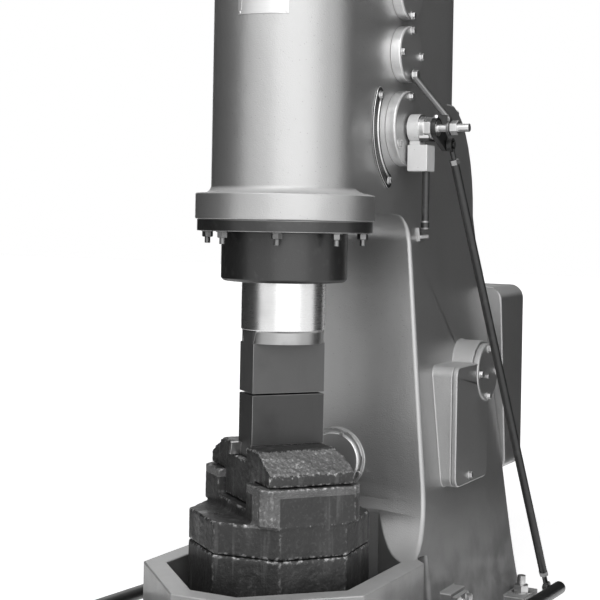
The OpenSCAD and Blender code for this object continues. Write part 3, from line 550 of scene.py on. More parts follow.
def middle_of(node: str, **given: float) -> Vector:
    """Middle of a CAD node's box, with the coordinates that are given."""
    middle = sum(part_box(node), Vector()) / 2
    for letter, value in given.items():
        setattr(middle, letter, value)
    return middle


def within(low: float, high: float, inset: float) -> tuple[float, float]:
    """Two places that lie an inset inside two limits."""
    return low + inset, high - inset


def join(name: str, pieces: Sequence[Object]) -> Object:
    """Join objects into one.

    Args:
        name: Name of the joined object.
        pieces: Objects to join.

    Returns:
        The joined object.
    """
    make_active(pieces[0])
    for piece in pieces:
        piece.select_set(True)
    if len(pieces) > 1:
        bpy.ops.object.join()
    pieces[0].name = name
    pieces[0].data.name = name
    return pieces[0]


def weld(piece: Object, distance: float) -> None:
    """Merge a piece's near points, and dissolve the edges inside its flats."""
    with editing(piece):
        bpy.ops.mesh.remove_doubles(threshold=distance)
        bpy.ops.mesh.dissolve_limited(angle_limit=FLAT_ANGLE)


def merged_copy(name: str, node: str) -> Object:
    """Copy a CAD node into an object whose loose triangles are merged.

    Args:
        name: Name of the copy.
        node: Name of the CAD node.

    Returns:
        The copy, at the origin.
    """
    piece = join(name, [linked(name, frame["nodes"][node].data.copy())])
    bpy.ops.mesh.customdata_custom_splitnormals_clear()
    weld(piece, MERGE_DISTANCE)
    return piece


def round_edges(
    piece: Object, width: float, segments: int = 2, edge: int = -1, angle: float = 35
) -> None:
    """Round the sharp edges of a merged copy.

    Args:
        piece: The object.
        width: Width of the rounding, in metres.
        segments: Faces across the rounding.
        edge: Number of the material on the rounding, or -1 for that of the faces.
        angle: Least angle of a sharp edge, in degrees.
    """
    with editing(piece):
        bpy.ops.mesh.quads_convert_to_tris(quad_method="BEAUTY", ngon_method="BEAUTY")
    shape(
        piece, "BEVEL", width=width, segments=segments, limit_method="ANGLE",
        angle_limit=math.radians(angle), use_clamp_overlap=False, material=edge,
    )


def give_slots(piece: Object, finishes: Sequence[Finish]) -> None:
    """Put finishes in a piece's material slots, in order; the faces keep their material numbers.
    """
    piece.data.materials.clear()
    for finish in finishes:
        piece.data.materials.append(finish.material())


def finish_piece(
    piece: Object,
    finish: Finish,
    body: Body,
    replaces: Sequence[str] = (),
    smooth: bool = True,
    others: Sequence[Finish] = (),
) -> Object:
    """Dress a piece and hang it on its body.

    Args:
        piece: The object.
        finish: Its finish.
        body: The body that it rides on.
        replaces: CAD nodes that it stands for.
        smooth: Whether to smooth its roundings and keep its flats flat.
        others: Further finishes, for faces whose material number isn't 0.

    Returns:
        The same object.
    """
    if smooth:
        make_active(piece)
        bpy.ops.object.shade_smooth_by_angle(angle=SMOOTH_ANGLE)
        shape(piece, "WEIGHTED_NORMAL", keep_sharp=True)
    numbers = [face.material_index for face in piece.data.polygons]
    give_slots(piece, (finish, *others))
    for face, number in zip(piece.data.polygons, numbers):
        face.material_index = min(number, len(others))
    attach(piece, body.value)
    if replaces:
        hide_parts(*replaces)
    LOG.info("%s: %d faces on %s", piece.name, len(piece.data.polygons), body.value)
    return piece


def softened(
    node: str,
    finish: Finish,
    body: Body,
    width: float,
    segments: int = 2,
    edge: Finish | None = None,
    paint: FaceTest | None = None,
) -> Object:
    """Stand a copy with rounded edges in for a CAD node.

    Args:
        node: Name of the CAD node.
        finish: Finish of the copy.
        body: Body that it rides on.
        width: Width of the rounding, in metres.
        segments: Faces across the rounding.
        edge: Second finish, for the rounded edges or the painted faces.
        paint: Test for the faces that get the second finish, instead of the edges.

    Returns:
        The copy.
    """
    piece = merged_copy(node + "_piece", node)
    others = [edge] if edge else []
    give_slots(piece, [finish, *others])
    if paint:
        for face in piece.data.polygons:
            face.material_index = int(paint(face))
    round_edges(piece, width, segments, 1 if edge and not paint else -1)
    return finish_piece(piece, finish, body, [node], others=others)


def capped_disc(
    vertices: int, radius: float, foot: float, height: float, chamfer: float, segments: int
) -> Object:
    """Model an upright disc or prism on the Z axis, with a bevelled top.

    Args:
        vertices: Corners of its outline.
        radius: Radius to the corners, in metres.
        foot: Height of its foot.
        height: Height above the foot.
        chamfer: Width of the bevel.
        segments: Faces across the bevel.

    Returns:
        The disc.
    """
    deselect_all()
    bpy.ops.mesh.primitive_cylinder_add(
        vertices=vertices, radius=radius, depth=height, location=(0, 0, foot + height / 2)
    )
    disc = bpy.context.object
    with editing(disc, faces_up):
        bpy.ops.mesh.bevel(offset=chamfer, segments=segments, affect="EDGES")
    bpy.ops.object.transform_apply(location=True, rotation=True, scale=True)
    return disc


def copies_at(name: str, template: Object, spots: Spots) -> Object:
    """Set copies of a template in their places, and remove the template.

    Args:
        name: Name of the piece that the copies form.
        template: Object at the origin, standing along +Z.
        spots: Foot and direction of each copy.

    Returns:
        The copies, each made from a mesh of its own and joined into one piece.
    """
    copies = []
    for turn, (foot, direction) in enumerate(spots):
        copy = linked(template.name, template.data.copy())
        spin = Matrix.Rotation(math.radians(SPIN_STEP * turn % HEX_TURN), 4, "Z")
        aim = direction.to_track_quat("Z", "Y").to_matrix().to_4x4()
        copy.data.transform(Matrix.Translation(foot) @ aim @ spin)
        copies.append(copy)
    bpy.data.objects.remove(template)
    return join(name, copies)


def plate_block(name: str, size: Triple, centre: Vector, rounding: float) -> Object:
    """Model a plate with a raised panel on its top and rounded edges.

    Args:
        name: Name of the plate.
        size: Width, depth and height of the plate, in metres.
        centre: Middle of the plate.
        rounding: Width of the edges' rounding.

    Returns:
        The plate.
    """
    deselect_all()
    bpy.ops.mesh.primitive_cube_add(size=1, location=centre)
    plate = bpy.context.object
    plate.name = name
    plate.scale = size
    bpy.ops.object.transform_apply(location=True, rotation=True, scale=True)
    with editing(plate, faces_up):
        bpy.ops.mesh.inset(thickness=0.12 * min(size[:2]))
        lift = {"value": (0, 0, 0.25 * size[2])}
        bpy.ops.mesh.extrude_region_move(TRANSFORM_OT_translate=lift)
    shape(plate, "BEVEL", width=rounding, segments=2, use_clamp_overlap=False)
    return plate


@dataclass(frozen=True)
class HexFastener:
    """A hexagon bolt head or nut, on a washer, with or without a stud's end.

    Attributes:
        across: Width across the flats, in metres.
        height: Height of the head.
        washer_r: Radius of the washer, or 0.
        stud: Length of the stud's end beyond the head, or 0.
    """

    across: float
    height: float
    washer_r: float = 0.0
    stud: float = 0.0

    def template(self) -> Object:
        """Model one fastener at the origin, standing along +Z."""
        washer_t = 0.16 * self.height if self.washer_r else 0.0
        corner_r = self.across / math.sqrt(3)
        parts = [capped_disc(6, corner_r, washer_t, self.height, 0.13 * self.across, 2)]
        if self.washer_r:
            parts.append(self.disc(self.washer_r, 0.0, washer_t))
        if self.stud:
            foot = washer_t + self.height - SKIN
            parts.append(self.disc(0.3 * self.across, foot, self.stud + SKIN))
        return join("fastener", parts)

    @staticmethod
    def disc(radius: float, foot: float, height: float) -> Object:
        """Model a round disc with a chamfered top."""
        return capped_disc(20, radius, foot, height, min(0.4 * height, 0.12 * radius), 1)

    def place(
        self, name: str, spots: Spots, finish: Finish = BOLT_STEEL, body: Body = Body.FRAME
    ) -> None:
        """Set copies of the fastener in their places, as one piece.

        Args:
            name: Name of the piece.
            spots: Foot and direction of each fastener.
            finish: Finish of the fasteners.
            body: Body that they ride on.
        """
        finish_piece(copies_at(name, self.template(), spots), finish, body)


COVER_BOLT = HexFastener(0.019, 0.009, 0.0145)
SHOULDER_BOLT = HexFastener(0.024, 0.016, 0.018)
HEAD_BOLT = HexFastener(0.036, 0.020, 0.029, 0.012)
CAP_PLUG = HexFastener(0.013, 0.007)
FRONT_BOLT = HexFastener(0.013, 0.008)
GLAND_NUT = HexFastener(0.027, 0.016, 0.018, 0.017)
SET_SCREW = HexFastener(0.012, 0.009)
LOCK_NUT = HexFastener(0.027, 0.016)
QUADRANT_BOLT = HexFastener(0.017, 0.008, 0.0125)
BRACE_BOLT = HexFastener(0.024, 0.013, 0.017)
BRACKET_BOLT = HexFastener(0.024, 0.013, 0.018)
ANCHOR_NUT = HexFastener(0.046, 0.024, 0.032, 0.03)
LID_SCREW = HexFastener(0.010, 0.006)
FLANGE_BOLT = HexFastener(0.020, 0.012)


def ring_of(centre: Vector, axis: Vector, radius: float, count: int, start: float) -> Spots:
    """Feet and directions of fasteners on a circle.

    Args:
        centre: Centre of the circle.
        axis: Direction that the fasteners stand in.
        radius: Radius of the circle.
        count: Number of fasteners.
        start: Angle of the first, in degrees.

    Returns:
        Foot and direction of each fastener.
    """
    side = BACK if abs(axis.x) > FACING else RIGHT
    other = axis.cross(side)
    if other.z < 0:
        other.negate()
    angles = [math.radians(start + 360 * i / count) for i in range(count)]
    return [(centre + radius * (math.cos(a) * side + math.sin(a) * other), axis) for a in angles]


@dataclass
class FrameCasting:
    """Base, column and cylinder block, fused into one casting with rounded edges.

    Attributes:
        nodes: CAD nodes that the casting stands for.
        rounding: Width of the edges' rounding, in metres.
        sharp: Least angle of an edge that is rounded, in degrees.
        seam: Distance within which points along the fused seams are merged.
        shoulder: Side and height of the bolts on the rear shoulder.
        behind: How far back the search for the shoulder's face starts.
    """

    nodes: tuple[str, ...] = ("frame_base", "frame_column", "cylinder_block")
    rounding: float = 0.0045
    sharp: float = 40
    seam: float = 0.0002
    shoulder: tuple[float, float] = (0.19, 1.675)
    behind: float = 2.0

    def build(self) -> None:
        """Fuse the three nodes, round their edges and dress them."""
        casting = merged_copy("frame_casting", self.nodes[0])
        for node in self.nodes[1:]:
            other = merged_copy(node + "_copy", node)
            shape(casting, "BOOLEAN", operation="UNION", solver="MANIFOLD", object=other)
            bpy.data.objects.remove(other)
        weld(casting, self.seam)
        round_edges(casting, self.rounding, 3, angle=self.sharp)
        finish_piece(casting, ENAMEL, Body.FRAME, self.nodes)
        self.shoulder_bolts(casting)

    def shoulder_bolts(self, casting: Object) -> None:
        """Bolts high on the casting's rear shoulder, one on each side."""
        bpy.context.view_layer.update()
        side, height = self.shoulder
        spots = []
        for x in (side, -side):
            _, foot, normal, _ = casting.ray_cast(Vector((x, self.behind, height)), -BACK)
            spots.append((foot - SKIN * normal, normal.copy()))
        SHOULDER_BOLT.place("shoulder_bolts", spots)


@dataclass
class Covers:
    """Covers and heads bolted to the casting.

    Attributes:
        valve_bolts: Each valve's level, with the number of bolts and the first one's angle.
        braced: The valve cover with the brace, and the bolt that the brace's own replaces.
        valve_circle: Share of a valve cover's radius at which its bolts sit.
        cap_circle: The same for a bearing cap.
        front_circle: The same for the front cover.
        head_circle: The same for a cylinder head.
        flange_from: Share of a head's radius beyond which its flange lies.
        pad_bolt: Place of the crankcase cover's bolt, from its front and its foot.
        plug_shift: How far the bearing cap's plug sits forward and down.
    """

    valve_bolts: tuple[tuple[str, int, float], ...] = (
        ("lower", 3, 90), ("middle", 4, 0), ("upper", 4, 0)
    )
    braced: tuple[str, int] = ("middle_valve_cover_right", 3)
    valve_circle: float = 0.85
    cap_circle: float = 0.82
    front_circle: float = 0.88
    head_circle: float = 0.83
    flange_from: float = 0.8
    pad_bolt: tuple[float, float] = (0.12, 0.026)
    plug_shift: float = -0.012

    def build(self) -> None:
        """Build every cover with its bolts."""
        for side, axis in SIDES.items():
            self.valve_covers(side, axis)
            self.crankcase_cover(side, axis)
        self.front_cover()
        self.heads()

    @staticmethod
    def outer_x(node: str, axis: Vector) -> float:
        """Place of a side cover's outer face."""
        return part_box(node)[axis.x > 0].x

    def ring(self, node: str, axis: Vector, share: float, count: int, start: float) -> Spots:
        """Spots of bolts on a round side cover's outer face.

        Args:
            node: CAD node of the cover.
            axis: Direction that the cover looks in.
            share: Share of the cover's radius at which the bolts sit.
            count: Number of bolts.
            start: Angle of the first, in degrees.

        Returns:
            Foot and direction of each bolt.
        """
        low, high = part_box(node)
        centre = middle_of(node, x=self.outer_x(node, axis))
        return ring_of(centre, axis, share * (high.z - low.z) / 2, count, start)

    def valve_covers(self, side: str, axis: Vector) -> None:
        """Round covers of the three valves on one side, with rims in bright steel: a painted
        highlight of the lit rims.
        """
        for level, count, start in self.valve_bolts:
            node = f"{level}_valve_cover_{side}"
            # The rims take the bright steel: painted highlight, standing in for the lit rims.
            softened(
                node, COVER_ENAMEL, Body.FRAME, 0.0022, edge=RIM_STEEL_AND_HIGHLIGHT,
                paint=lambda face: abs(face.normal.x) < 0.5,
            )
            spots = self.ring(node, axis, self.valve_circle, count, start)
            if node == self.braced[0]:
                spots.pop(self.braced[1])
            COVER_BOLT.place(node + "_bolts", spots)

    def crankcase_cover(self, side: str, axis: Vector) -> None:
        """Pad cover and bearing cap on one side of the column."""
        pad, cap = f"crankcase_cover_{side}", f"bearing_cap_{side}"
        softened(pad, COVER_ENAMEL, Body.FRAME, 0.004, 3)
        softened(cap, COVER_ENAMEL, Body.FRAME, 0.003)
        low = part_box(pad)[0]
        foot = low + Vector((0, *self.pad_bolt))
        foot.x = self.outer_x(pad, axis)
        COVER_BOLT.place(pad + "_bolt", [(foot, axis)])
        COVER_BOLT.place(cap + "_bolts", self.ring(cap, axis, self.cap_circle, 4, 0))
        centre = middle_of(cap, x=self.outer_x(cap, axis))
        CAP_PLUG.place(cap + "_plug", [(centre + self.plug_shift * (BACK + UP), axis)])

    def front_cover(self) -> None:
        """Round cover on the column's front wall."""
        # Its rounded edges take the bright steel: partly a painted highlight on the lit rim.
        cover = softened("front_cover", COVER_ENAMEL, Body.FRAME, 0.002, edge=RIM_STEEL_AND_HIGHLIGHT)
        face = max(cover.data.polygons, key=lambda polygon: polygon.area * -polygon.normal.y)
        low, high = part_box("front_cover")
        radius = self.front_circle * (high.x - low.x) / 2
        spots = ring_of(face.center.copy(), face.normal.normalized(), radius, 3, 88)
        FRONT_BOLT.place("front_cover_bolts", spots)

    def heads(self) -> None:
        """Heads of both cylinders, with their bolts."""
        for node in ("working_cylinder_head", "compressor_cylinder_head"):
            head = softened(node, COVER_ENAMEL, Body.FRAME, 0.003)
            low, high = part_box(node)
            radius = (high.x - low.x) / 2
            middle = middle_of(node)
            points = [v.co for v in head.data.vertices]
            inner = self.flange_from * radius
            middle.z = max(co.z for co in points if math.dist(co.xy, middle.xy) > inner)
            spots = ring_of(middle, UP, self.head_circle * radius, 8, 22.5)
            HEAD_BOLT.place(node + "_bolts", spots)


@dataclass
class Gland:
    """Gland ring and guide sleeve under the working cylinder, with studs and nuts.

    Attributes:
        stud_circle: Radius of the studs' circle, in metres.
        studs: Number of studs.
    """

    stud_circle: float = 0.222
    studs: int = 8

    def build(self) -> None:
        """Build the ring, the sleeve and the hanging nuts."""
        softened("gland_ring", BLACK_IRON, Body.FRAME, 0.0025, edge=WORN_BLACK)
        softened("guide_sleeve", BLACK_IRON, Body.FRAME, 0.002)
        centre = middle_of("gland_ring", z=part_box("gland_ring")[0].z)
        spots = ring_of(centre, -UP, self.stud_circle, self.studs, 22.5)
        GLAND_NUT.place("gland_nuts", spots, DARK_STEEL)


@dataclass
class RamAndDies:
    """Ram with the upper die, and the lower die with its key.

    Attributes:
        rounding: Width of the edges' rounding, in metres.
        collar_h: Height of the duller collar at the ram's foot.
    """

    rounding: float = 0.0016
    collar_h: float = 0.036

    def build(self) -> None:
        """Stand softened copies in for the ram and the dies."""
        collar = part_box("ram")[0].z + self.collar_h
        softened(
            "ram", RAM_STEEL, Body.RAM, self.rounding, edge=COLLAR_STEEL,
            paint=lambda face: face.center.z < collar,
        )
        dies = (("upper", UPPER_DIE_STEEL, Body.RAM), ("lower", LOWER_DIE_STEEL, Body.FRAME))
        for level, steel, body in dies:
            softened(f"{level}_die", steel, body, self.rounding, edge=WORN_DIE)
            softened(f"{level}_die_key", KEY_STEEL, body, self.rounding)


@dataclass
class Anvil:
    """Anvil blocks and cap, with rough cast skin and battered edges.

    Attributes:
        rounding: Width of the edges' rounding, in metres.
        voxel: Size of the remesh's cells.
        skins: Grain and height of the broad and of the fine unevenness.
        grains: Grain and height of the coarse grains on the cap's slopes.
        slope: Least and greatest upright part of the normal on the cap's slopes.
        slope_h: Height of the slopes below the cap's top.
        scraped: Height of the scraped band at the top of the upper block.
        patch: Reach and height of the broken patch at the head's corner.
    """

    rounding: float = 0.0025
    voxel: float = 0.005
    skins: tuple[tuple[str, float, float], ...] = (
        ("battered_skin", 0.055, 0.0022), ("cast_skin", 0.012, 0.0018)
    )
    grains: tuple[float, float] = (0.011, 0.009)
    slope: tuple[float, float] = (0.25, 0.93)
    slope_h: float = 0.06
    scraped: float = 0.026
    patch: tuple[float, float] = (0.056, 0.085)

    def build(self) -> None:
        """Build the three pieces of the anvil."""
        corner = self.corner()
        tests = {
            "anvil_cap": self.on_slope,
            "anvil_upper_block": lambda face, top: self.on_head(face, top, corner),
            "anvil_lower_block": lambda face, top: 0,
        }
        for node, test in tests.items():
            piece = merged_copy(node + "_piece", node)
            shape(
                piece, "BEVEL", width=self.rounding, segments=1, limit_method="ANGLE",
                use_clamp_overlap=False,
            )
            shape(piece, "REMESH", mode="VOXEL", voxel_size=self.voxel)
            for skin in self.skins:
                self.roughen(piece, *skin)
            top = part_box(node)[1].z
            numbers = [test(face, top) for face in piece.data.polygons]
            if node == "anvil_cap":
                self.knobble(piece, numbers)
            make_active(piece)
            bpy.ops.object.shade_smooth()
            others = [ROUGH_CAST, SCRAPED_IRON] if any(numbers) else []
            give_slots(piece, [ANVIL_IRON, *others])
            for number, face in zip(numbers, piece.data.polygons):
                face.material_index = number
            finish_piece(piece, ANVIL_IRON, Body.FRAME, [node], smooth=False, others=others)

    def knobble(self, piece: Object, numbers: Sequence[int]) -> None:
        """Roughen the cap's slopes with coarse grains."""
        group = piece.vertex_groups.new(name="slopes")
        for face, number in zip(piece.data.polygons, numbers):
            if number:
                group.add(list(face.vertices), 1.0, "REPLACE")
        self.roughen(piece, "grains", *self.grains, mid_level=0.62, vertex_group="slopes")

    def on_slope(self, face: Face, top: float) -> int:
        """1 on the cap's cast slopes, else 0."""
        low, high = self.slope
        return int(low < face.normal.z < high and face.center.z > top - self.slope_h)

    def on_head(self, face: Face, top: float, corner: Vector) -> int:
        """2 on the scraped band along the head's top, 1 on the broken corner, else 0."""
        drop = top - face.center.z
        if drop < self.scraped and face.normal.z < FACING:
            return 2
        near = math.dist(face.center.xy, corner.xy) < self.patch[0]
        return int(near and drop < self.patch[1] + self.scraped)

    @staticmethod
    def corner() -> Vector:
        """Front left corner of the anvil's head."""
        head = frame["nodes"]["anvil_upper_block"].data.vertices
        top = max(v.co.z for v in head)
        rim = [v.co for v in head if v.co.z > top - SKIN]
        return min(rim, key=lambda co: co.y + 0.25 * co.x)

    @staticmethod
    def roughen(
        piece: Object, name: str, grain: float, height: float, **settings: object
    ) -> None:
        """Push a skin of clouds into a piece, mostly inwards.

        Args:
            piece: The object.
            name: Name of the clouds.
            grain: Size of a cloud, in metres.
            height: Height of the unevenness.
            **settings: Other properties of the modifier.
        """
        clouds = bpy.data.textures.get(name) or bpy.data.textures.new(name, "CLOUDS")
        clouds.noise_scale = grain
        settings = {"mid_level": 0.85, **settings}
        shape(
            piece, "DISPLACE", texture=clouds, texture_coords="GLOBAL", strength=height, **settings
        )


@dataclass
class ValveGear:
    """Valve shaft with its lever block, crank, brace, quadrant and stop.

    Attributes:
        rounding: Width of the edges' rounding, in metres.
        hub_r: Radius beyond which the shaft is painted.
        rod_eye: Radius and thickness of the pull rod's eyes.
        neck: Length of the pull rod's necks, from the middle of the eyes.
        keeper: Size of the keeper plate on the lever block.
        keeper_lift: Height of the keeper's middle over the block.
        shade_strip: Size of the black strip under the keeper, a painted shadow of the gap there.
        shade_strip_drop: How far the black strip's middle lies below the keeper's.
        plate_rounding: Width of the rounding of both plates.
        screw_in: Place of the set screw, from the crank's inner face.
        quadrant_inset: Place of the quadrant's bolts, from its tips.
        brace_foot: Height of the brace's foot.
    """

    rounding: float = 0.0014
    hub_r: float = 0.037
    rod_eye: tuple[float, float] = (0.021, 0.016)
    neck: float = 0.062
    keeper: Triple = (0.030, 0.058, 0.007)
    keeper_lift: float = 0.010
    shade_strip: Triple = (0.030, 0.054, 0.008)
    shade_strip_drop: float = 0.0075
    plate_rounding: float = 0.0008
    screw_in: float = 0.007
    quadrant_inset: float = 0.024
    brace_foot: float = 0.02

    def build(self) -> None:
        """Build the moving pieces and what holds them."""
        centre = middle_of("valve_shaft")
        softened(
            "valve_shaft", SHAFT_STEEL, Body.VALVE_LEVER, self.rounding, edge=LIGHT_ENAMEL,
            paint=lambda face: math.dist(face.center.yz, centre.yz) > self.hub_r,
        )
        softened("lever_block", LIGHT_ENAMEL, Body.VALVE_LEVER, 0.003, 3)
        for node, finish, body, edge in (
            ("hand_lever", BLACK_IRON, Body.VALVE_LEVER, WORN_BLACK),
            ("crank_arm", BLACK_IRON, Body.VALVE_LEVER, None),
            ("shaft_brace", DARK_STEEL, Body.FRAME, None),
            ("quadrant_plate", BLACK_IRON, Body.FRAME, RIM_STEEL_AND_HIGHLIGHT),
            ("lever_stop", SHAFT_STEEL, Body.FRAME, None),
            ("pull_rod", BLACK_IRON, Body.PULL_ROD, None),
        ):
            softened(node, finish, body, self.rounding, edge=edge)
        self.quadrant_bolts()
        self.brace_bolts()
        self.clamp()
        self.lock_nuts()

    @staticmethod
    def points(node: str) -> list[Vector]:
        """Points of a CAD node."""
        return [v.co for v in frame["nodes"][node].data.vertices]

    def clamp(self) -> None:
        """Bright keeper plate on the lever block, a black strip under it as painted shadow, and
        the crank's set screw.
        """
        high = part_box("lever_block")[1]
        reach = high.x - 0.4 * self.keeper[0]
        centre = middle_of("lever_block", x=reach, z=high.z + self.keeper_lift)
        # The black strip under the keeper stands in for the shadowed gap: painted shadow.
        under = centre - self.shade_strip_drop * UP
        for name, size, middle, finish in (
            ("lever_keeper", self.keeper, centre, RIM_STEEL_AND_HIGHLIGHT),
            ("lever_shade_strip", self.shade_strip, under, BLACK_IRON),
        ):
            plate = plate_block(name, size, middle, self.plate_rounding)
            finish_piece(plate, finish, Body.VALVE_LEVER)
        low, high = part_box("crank_arm")
        top = middle_of("valve_shaft", x=low.x + self.screw_in, z=high.z - SKIN)
        SET_SCREW.place("crank_set_screw", [(top, UP)], BOLT_STEEL, Body.VALVE_LEVER)

    def lock_nuts(self) -> None:
        """Lock nuts where both necks of the pull rod leave its thicker middle."""
        radius, thickness = self.rod_eye
        eye = Vector((thickness / 2, radius, -radius))
        low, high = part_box("pull_rod")
        upper = Vector((low.x, low.y, high.z)) + eye
        lower = Vector((high.x, high.y, low.z)) - eye
        along = (upper - lower).normalized()
        spots = [(upper - self.neck * along, along), (lower + self.neck * along, -along)]
        LOCK_NUT.place("rod_lock_nuts", spots, WORN_BLACK, Body.PULL_ROD)

    def quadrant_bolts(self) -> None:
        """Bolts at both ends of the quadrant plate."""
        plate = self.points("quadrant_plate")
        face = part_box("quadrant_plate")[1].x
        spots = []
        for pick, inset in ((max, -self.quadrant_inset), (min, self.quadrant_inset)):
            tip = pick(plate, key=lambda co: co.z)
            spots.append((Vector((face, tip.y, tip.z + inset)), RIGHT))
        QUADRANT_BOLT.place("quadrant_bolts", spots)

    def brace_bolts(self) -> None:
        """Bolt that holds the brace to the middle valve's cover."""
        plate = self.points("shaft_brace")
        top = max(co.z for co in plate)
        foot = [co for co in plate if co.z > top - self.brace_foot]
        middle = sum(co.y for co in foot) / len(foot)
        spot = Vector((max(co.x for co in foot), middle, top - self.brace_foot / 2))
        BRACE_BOLT.place("brace_bolt", [(spot, RIGHT)], SHAFT_STEEL)


@dataclass
class TreadleGear:
    """Treadle hoop with its brackets, and the anchor bolts of the feet.

    Attributes:
        rounding: Width of the edges' rounding, in metres.
        plate_t: Thickness of a bracket's plate.
        inset: Distance of the bolts from the plate's edges.
    """

    rounding: float = 0.002
    plate_t: float = 0.016
    inset: float = 0.017

    def build(self) -> None:
        """Build the treadle and its brackets."""
        softened("treadle", BLACK_IRON, Body.TREADLE, self.rounding)
        for side, axis in SIDES.items():
            node = f"treadle_bracket_{side}"
            softened(node, ENAMEL, Body.FRAME, self.rounding)
            low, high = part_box(node)
            face = (low if axis.x > 0 else high).x + self.plate_t * axis.x
            spots = [
                (Vector((face, y, z)), axis)
                for y in within(low.y, high.y, self.inset)
                for z in within(low.z, high.z, self.inset)
            ]
            BRACKET_BOLT.place(node + "_bolts", spots)
        self.anchors()

    def anchors(self) -> None:
        """Nuts on the foundation bolts of the rear feet."""
        mount = next(m for m in frame["record"]["mounts"] if m["name"] == "rear_anchor_holes")
        half = mount["dims"]["spacing_x_mm"] / 2000
        centre = Vector(mount["pos_m"])
        spots = [(Vector((x, centre.y, 2 * centre.z)), UP) for x in (-half, half)]
        ANCHOR_NUT.place("anchor_nuts", spots)


@dataclass
class Drive:
    """Gear case with its cover, and the flange motor behind it.

    Attributes:
        rim: Width of the plain rim round the cowl's slots, in metres.
        slot: Width of a slot.
        land: Width of the land between two slots.
        slots: Number of rings of slots.
        slot_depth: Depth of a slot.
        spoke: Half of the angle that a spoke takes, in degrees.
        lid: How far the terminal box's lid stands out all round, its height and its rounding.
        screws: Inset of the lid's screws from the box's edges, and their height over it.
        flange: Place of the motor flange's rear face, and radius of its bolts' circle.
        cover_inset: Place of the gear case cover's bolts, from its edges.
    """

    rim: float = 0.016
    slot: float = 0.011
    land: float = 0.009
    slots: int = 5
    slot_depth: float = 0.009
    spoke: float = 7
    lid: Triple = (0.004, 0.012, 0.002)
    screws: tuple[float, float] = (0.005, 0.005)
    flange: tuple[float, float] = (0.024, 0.186)
    cover_inset: float = 0.03

    def build(self) -> None:
        """Build the case, the cover and the motor."""
        softened("gear_case", ENAMEL, Body.FRAME, 0.006, 3)
        softened("gear_case_cover", COVER_ENAMEL, Body.FRAME, 0.003)
        softened("drive_motor", COVER_ENAMEL, Body.FRAME, 0.0012, 1)
        self.cowl()
        self.terminal_box()
        self.flange_bolts()
        self.cover_bolts()

    def cowl(self) -> None:
        """Fan cowl with rings of slots sunk in its rear face, their sunk faces black: painted
        shade of the open slots.
        """
        node = "motor_fan_cowl"
        cowl = merged_copy(node + "_piece", node)
        with editing(cowl, lambda face: face.normal.y > FACING):
            for width in (self.rim, *(self.slot, self.land) * self.slots):
                bpy.ops.mesh.inset(thickness=width)
        middle, rear = middle_of(node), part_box(node)[1].y - SKIN
        back = [v.co for v in cowl.data.vertices if v.co.y > rear]
        outer = max(math.dist(co.xz, middle.xz) for co in back) - self.rim
        with editing(cowl, lambda face: self.in_slot(face, middle, outer)):
            sink = {"value": (0, -self.slot_depth, 0)}
            bpy.ops.mesh.extrude_region_move(TRANSFORM_OT_translate=sink)
        # The sunk slot faces take the black finish: painted shade, standing in for the dark inside
        # open slots.
        give_slots(cowl, (COVER_ENAMEL, BLACK_IRON))
        for face in cowl.data.polygons:
            face.material_index = int(face.select)
        finish_piece(cowl, COVER_ENAMEL, Body.FRAME, [node], others=[BLACK_IRON])

    def in_slot(self, face: Face, middle: Vector, outer: float) -> bool:
        """Whether a face of the cowl's rear lies in a slot, clear of the four spokes."""
        spot = face.center - middle
        reach = outer - spot.xz.length
        turn = math.degrees(math.atan2(spot.z, spot.x)) % 90
        pitch = self.slot + self.land
        inside = 0 < reach < self.slots * pitch and reach % pitch < self.slot
        return face.normal.y > FACING and inside and self.spoke < turn < 90 - self.spoke

    def terminal_box(self) -> None:
        """Terminal box with a screwed lid."""
        node = "motor_terminal_box"
        softened(node, COVER_ENAMEL, Body.FRAME, 0.005, 3)
        low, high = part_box(node)
        stand, height, rounding = self.lid
        size = (high.x - low.x + 2 * stand, high.y - low.y + 2 * stand, height)
        lid = plate_block(node + "_lid", size, middle_of(node, z=high.z), rounding)
        finish_piece(lid, COVER_ENAMEL, Body.FRAME)
        inset, lift = self.screws
        spots = [
            (Vector((x, y, high.z + lift)), UP)
            for x in within(low.x, high.x, inset)
            for y in within(low.y, high.y, inset)
        ]
        LID_SCREW.place(node + "_screws", spots)

    def flange_bolts(self) -> None:
        """Bolts of the motor's flange."""
        rear, circle = self.flange
        centre = middle_of("drive_motor", y=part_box("drive_motor")[0].y + rear)
        FLANGE_BOLT.place("motor_flange_bolts", ring_of(centre, BACK, circle, 8, 22.5))

    def cover_bolts(self) -> None:
        """Bolts round the gear case's rear cover."""
        low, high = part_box("gear_case_cover")
        columns = within(low.x, high.x, self.cover_inset)
        foot, top = within(low.z, high.z, self.cover_inset)
        third = (high.z - low.z) / 3
        rows = (foot, low.z + third, low.z + 2 * third, top)
        places = [(x, z) for x in columns for z in rows]
        places += [((low.x + high.x) / 2, z) for z in (foot, top)]
        COVER_BOLT.place("gear_cover_bolts", [(Vector((x, high.y, z)), BACK) for x, z in places])


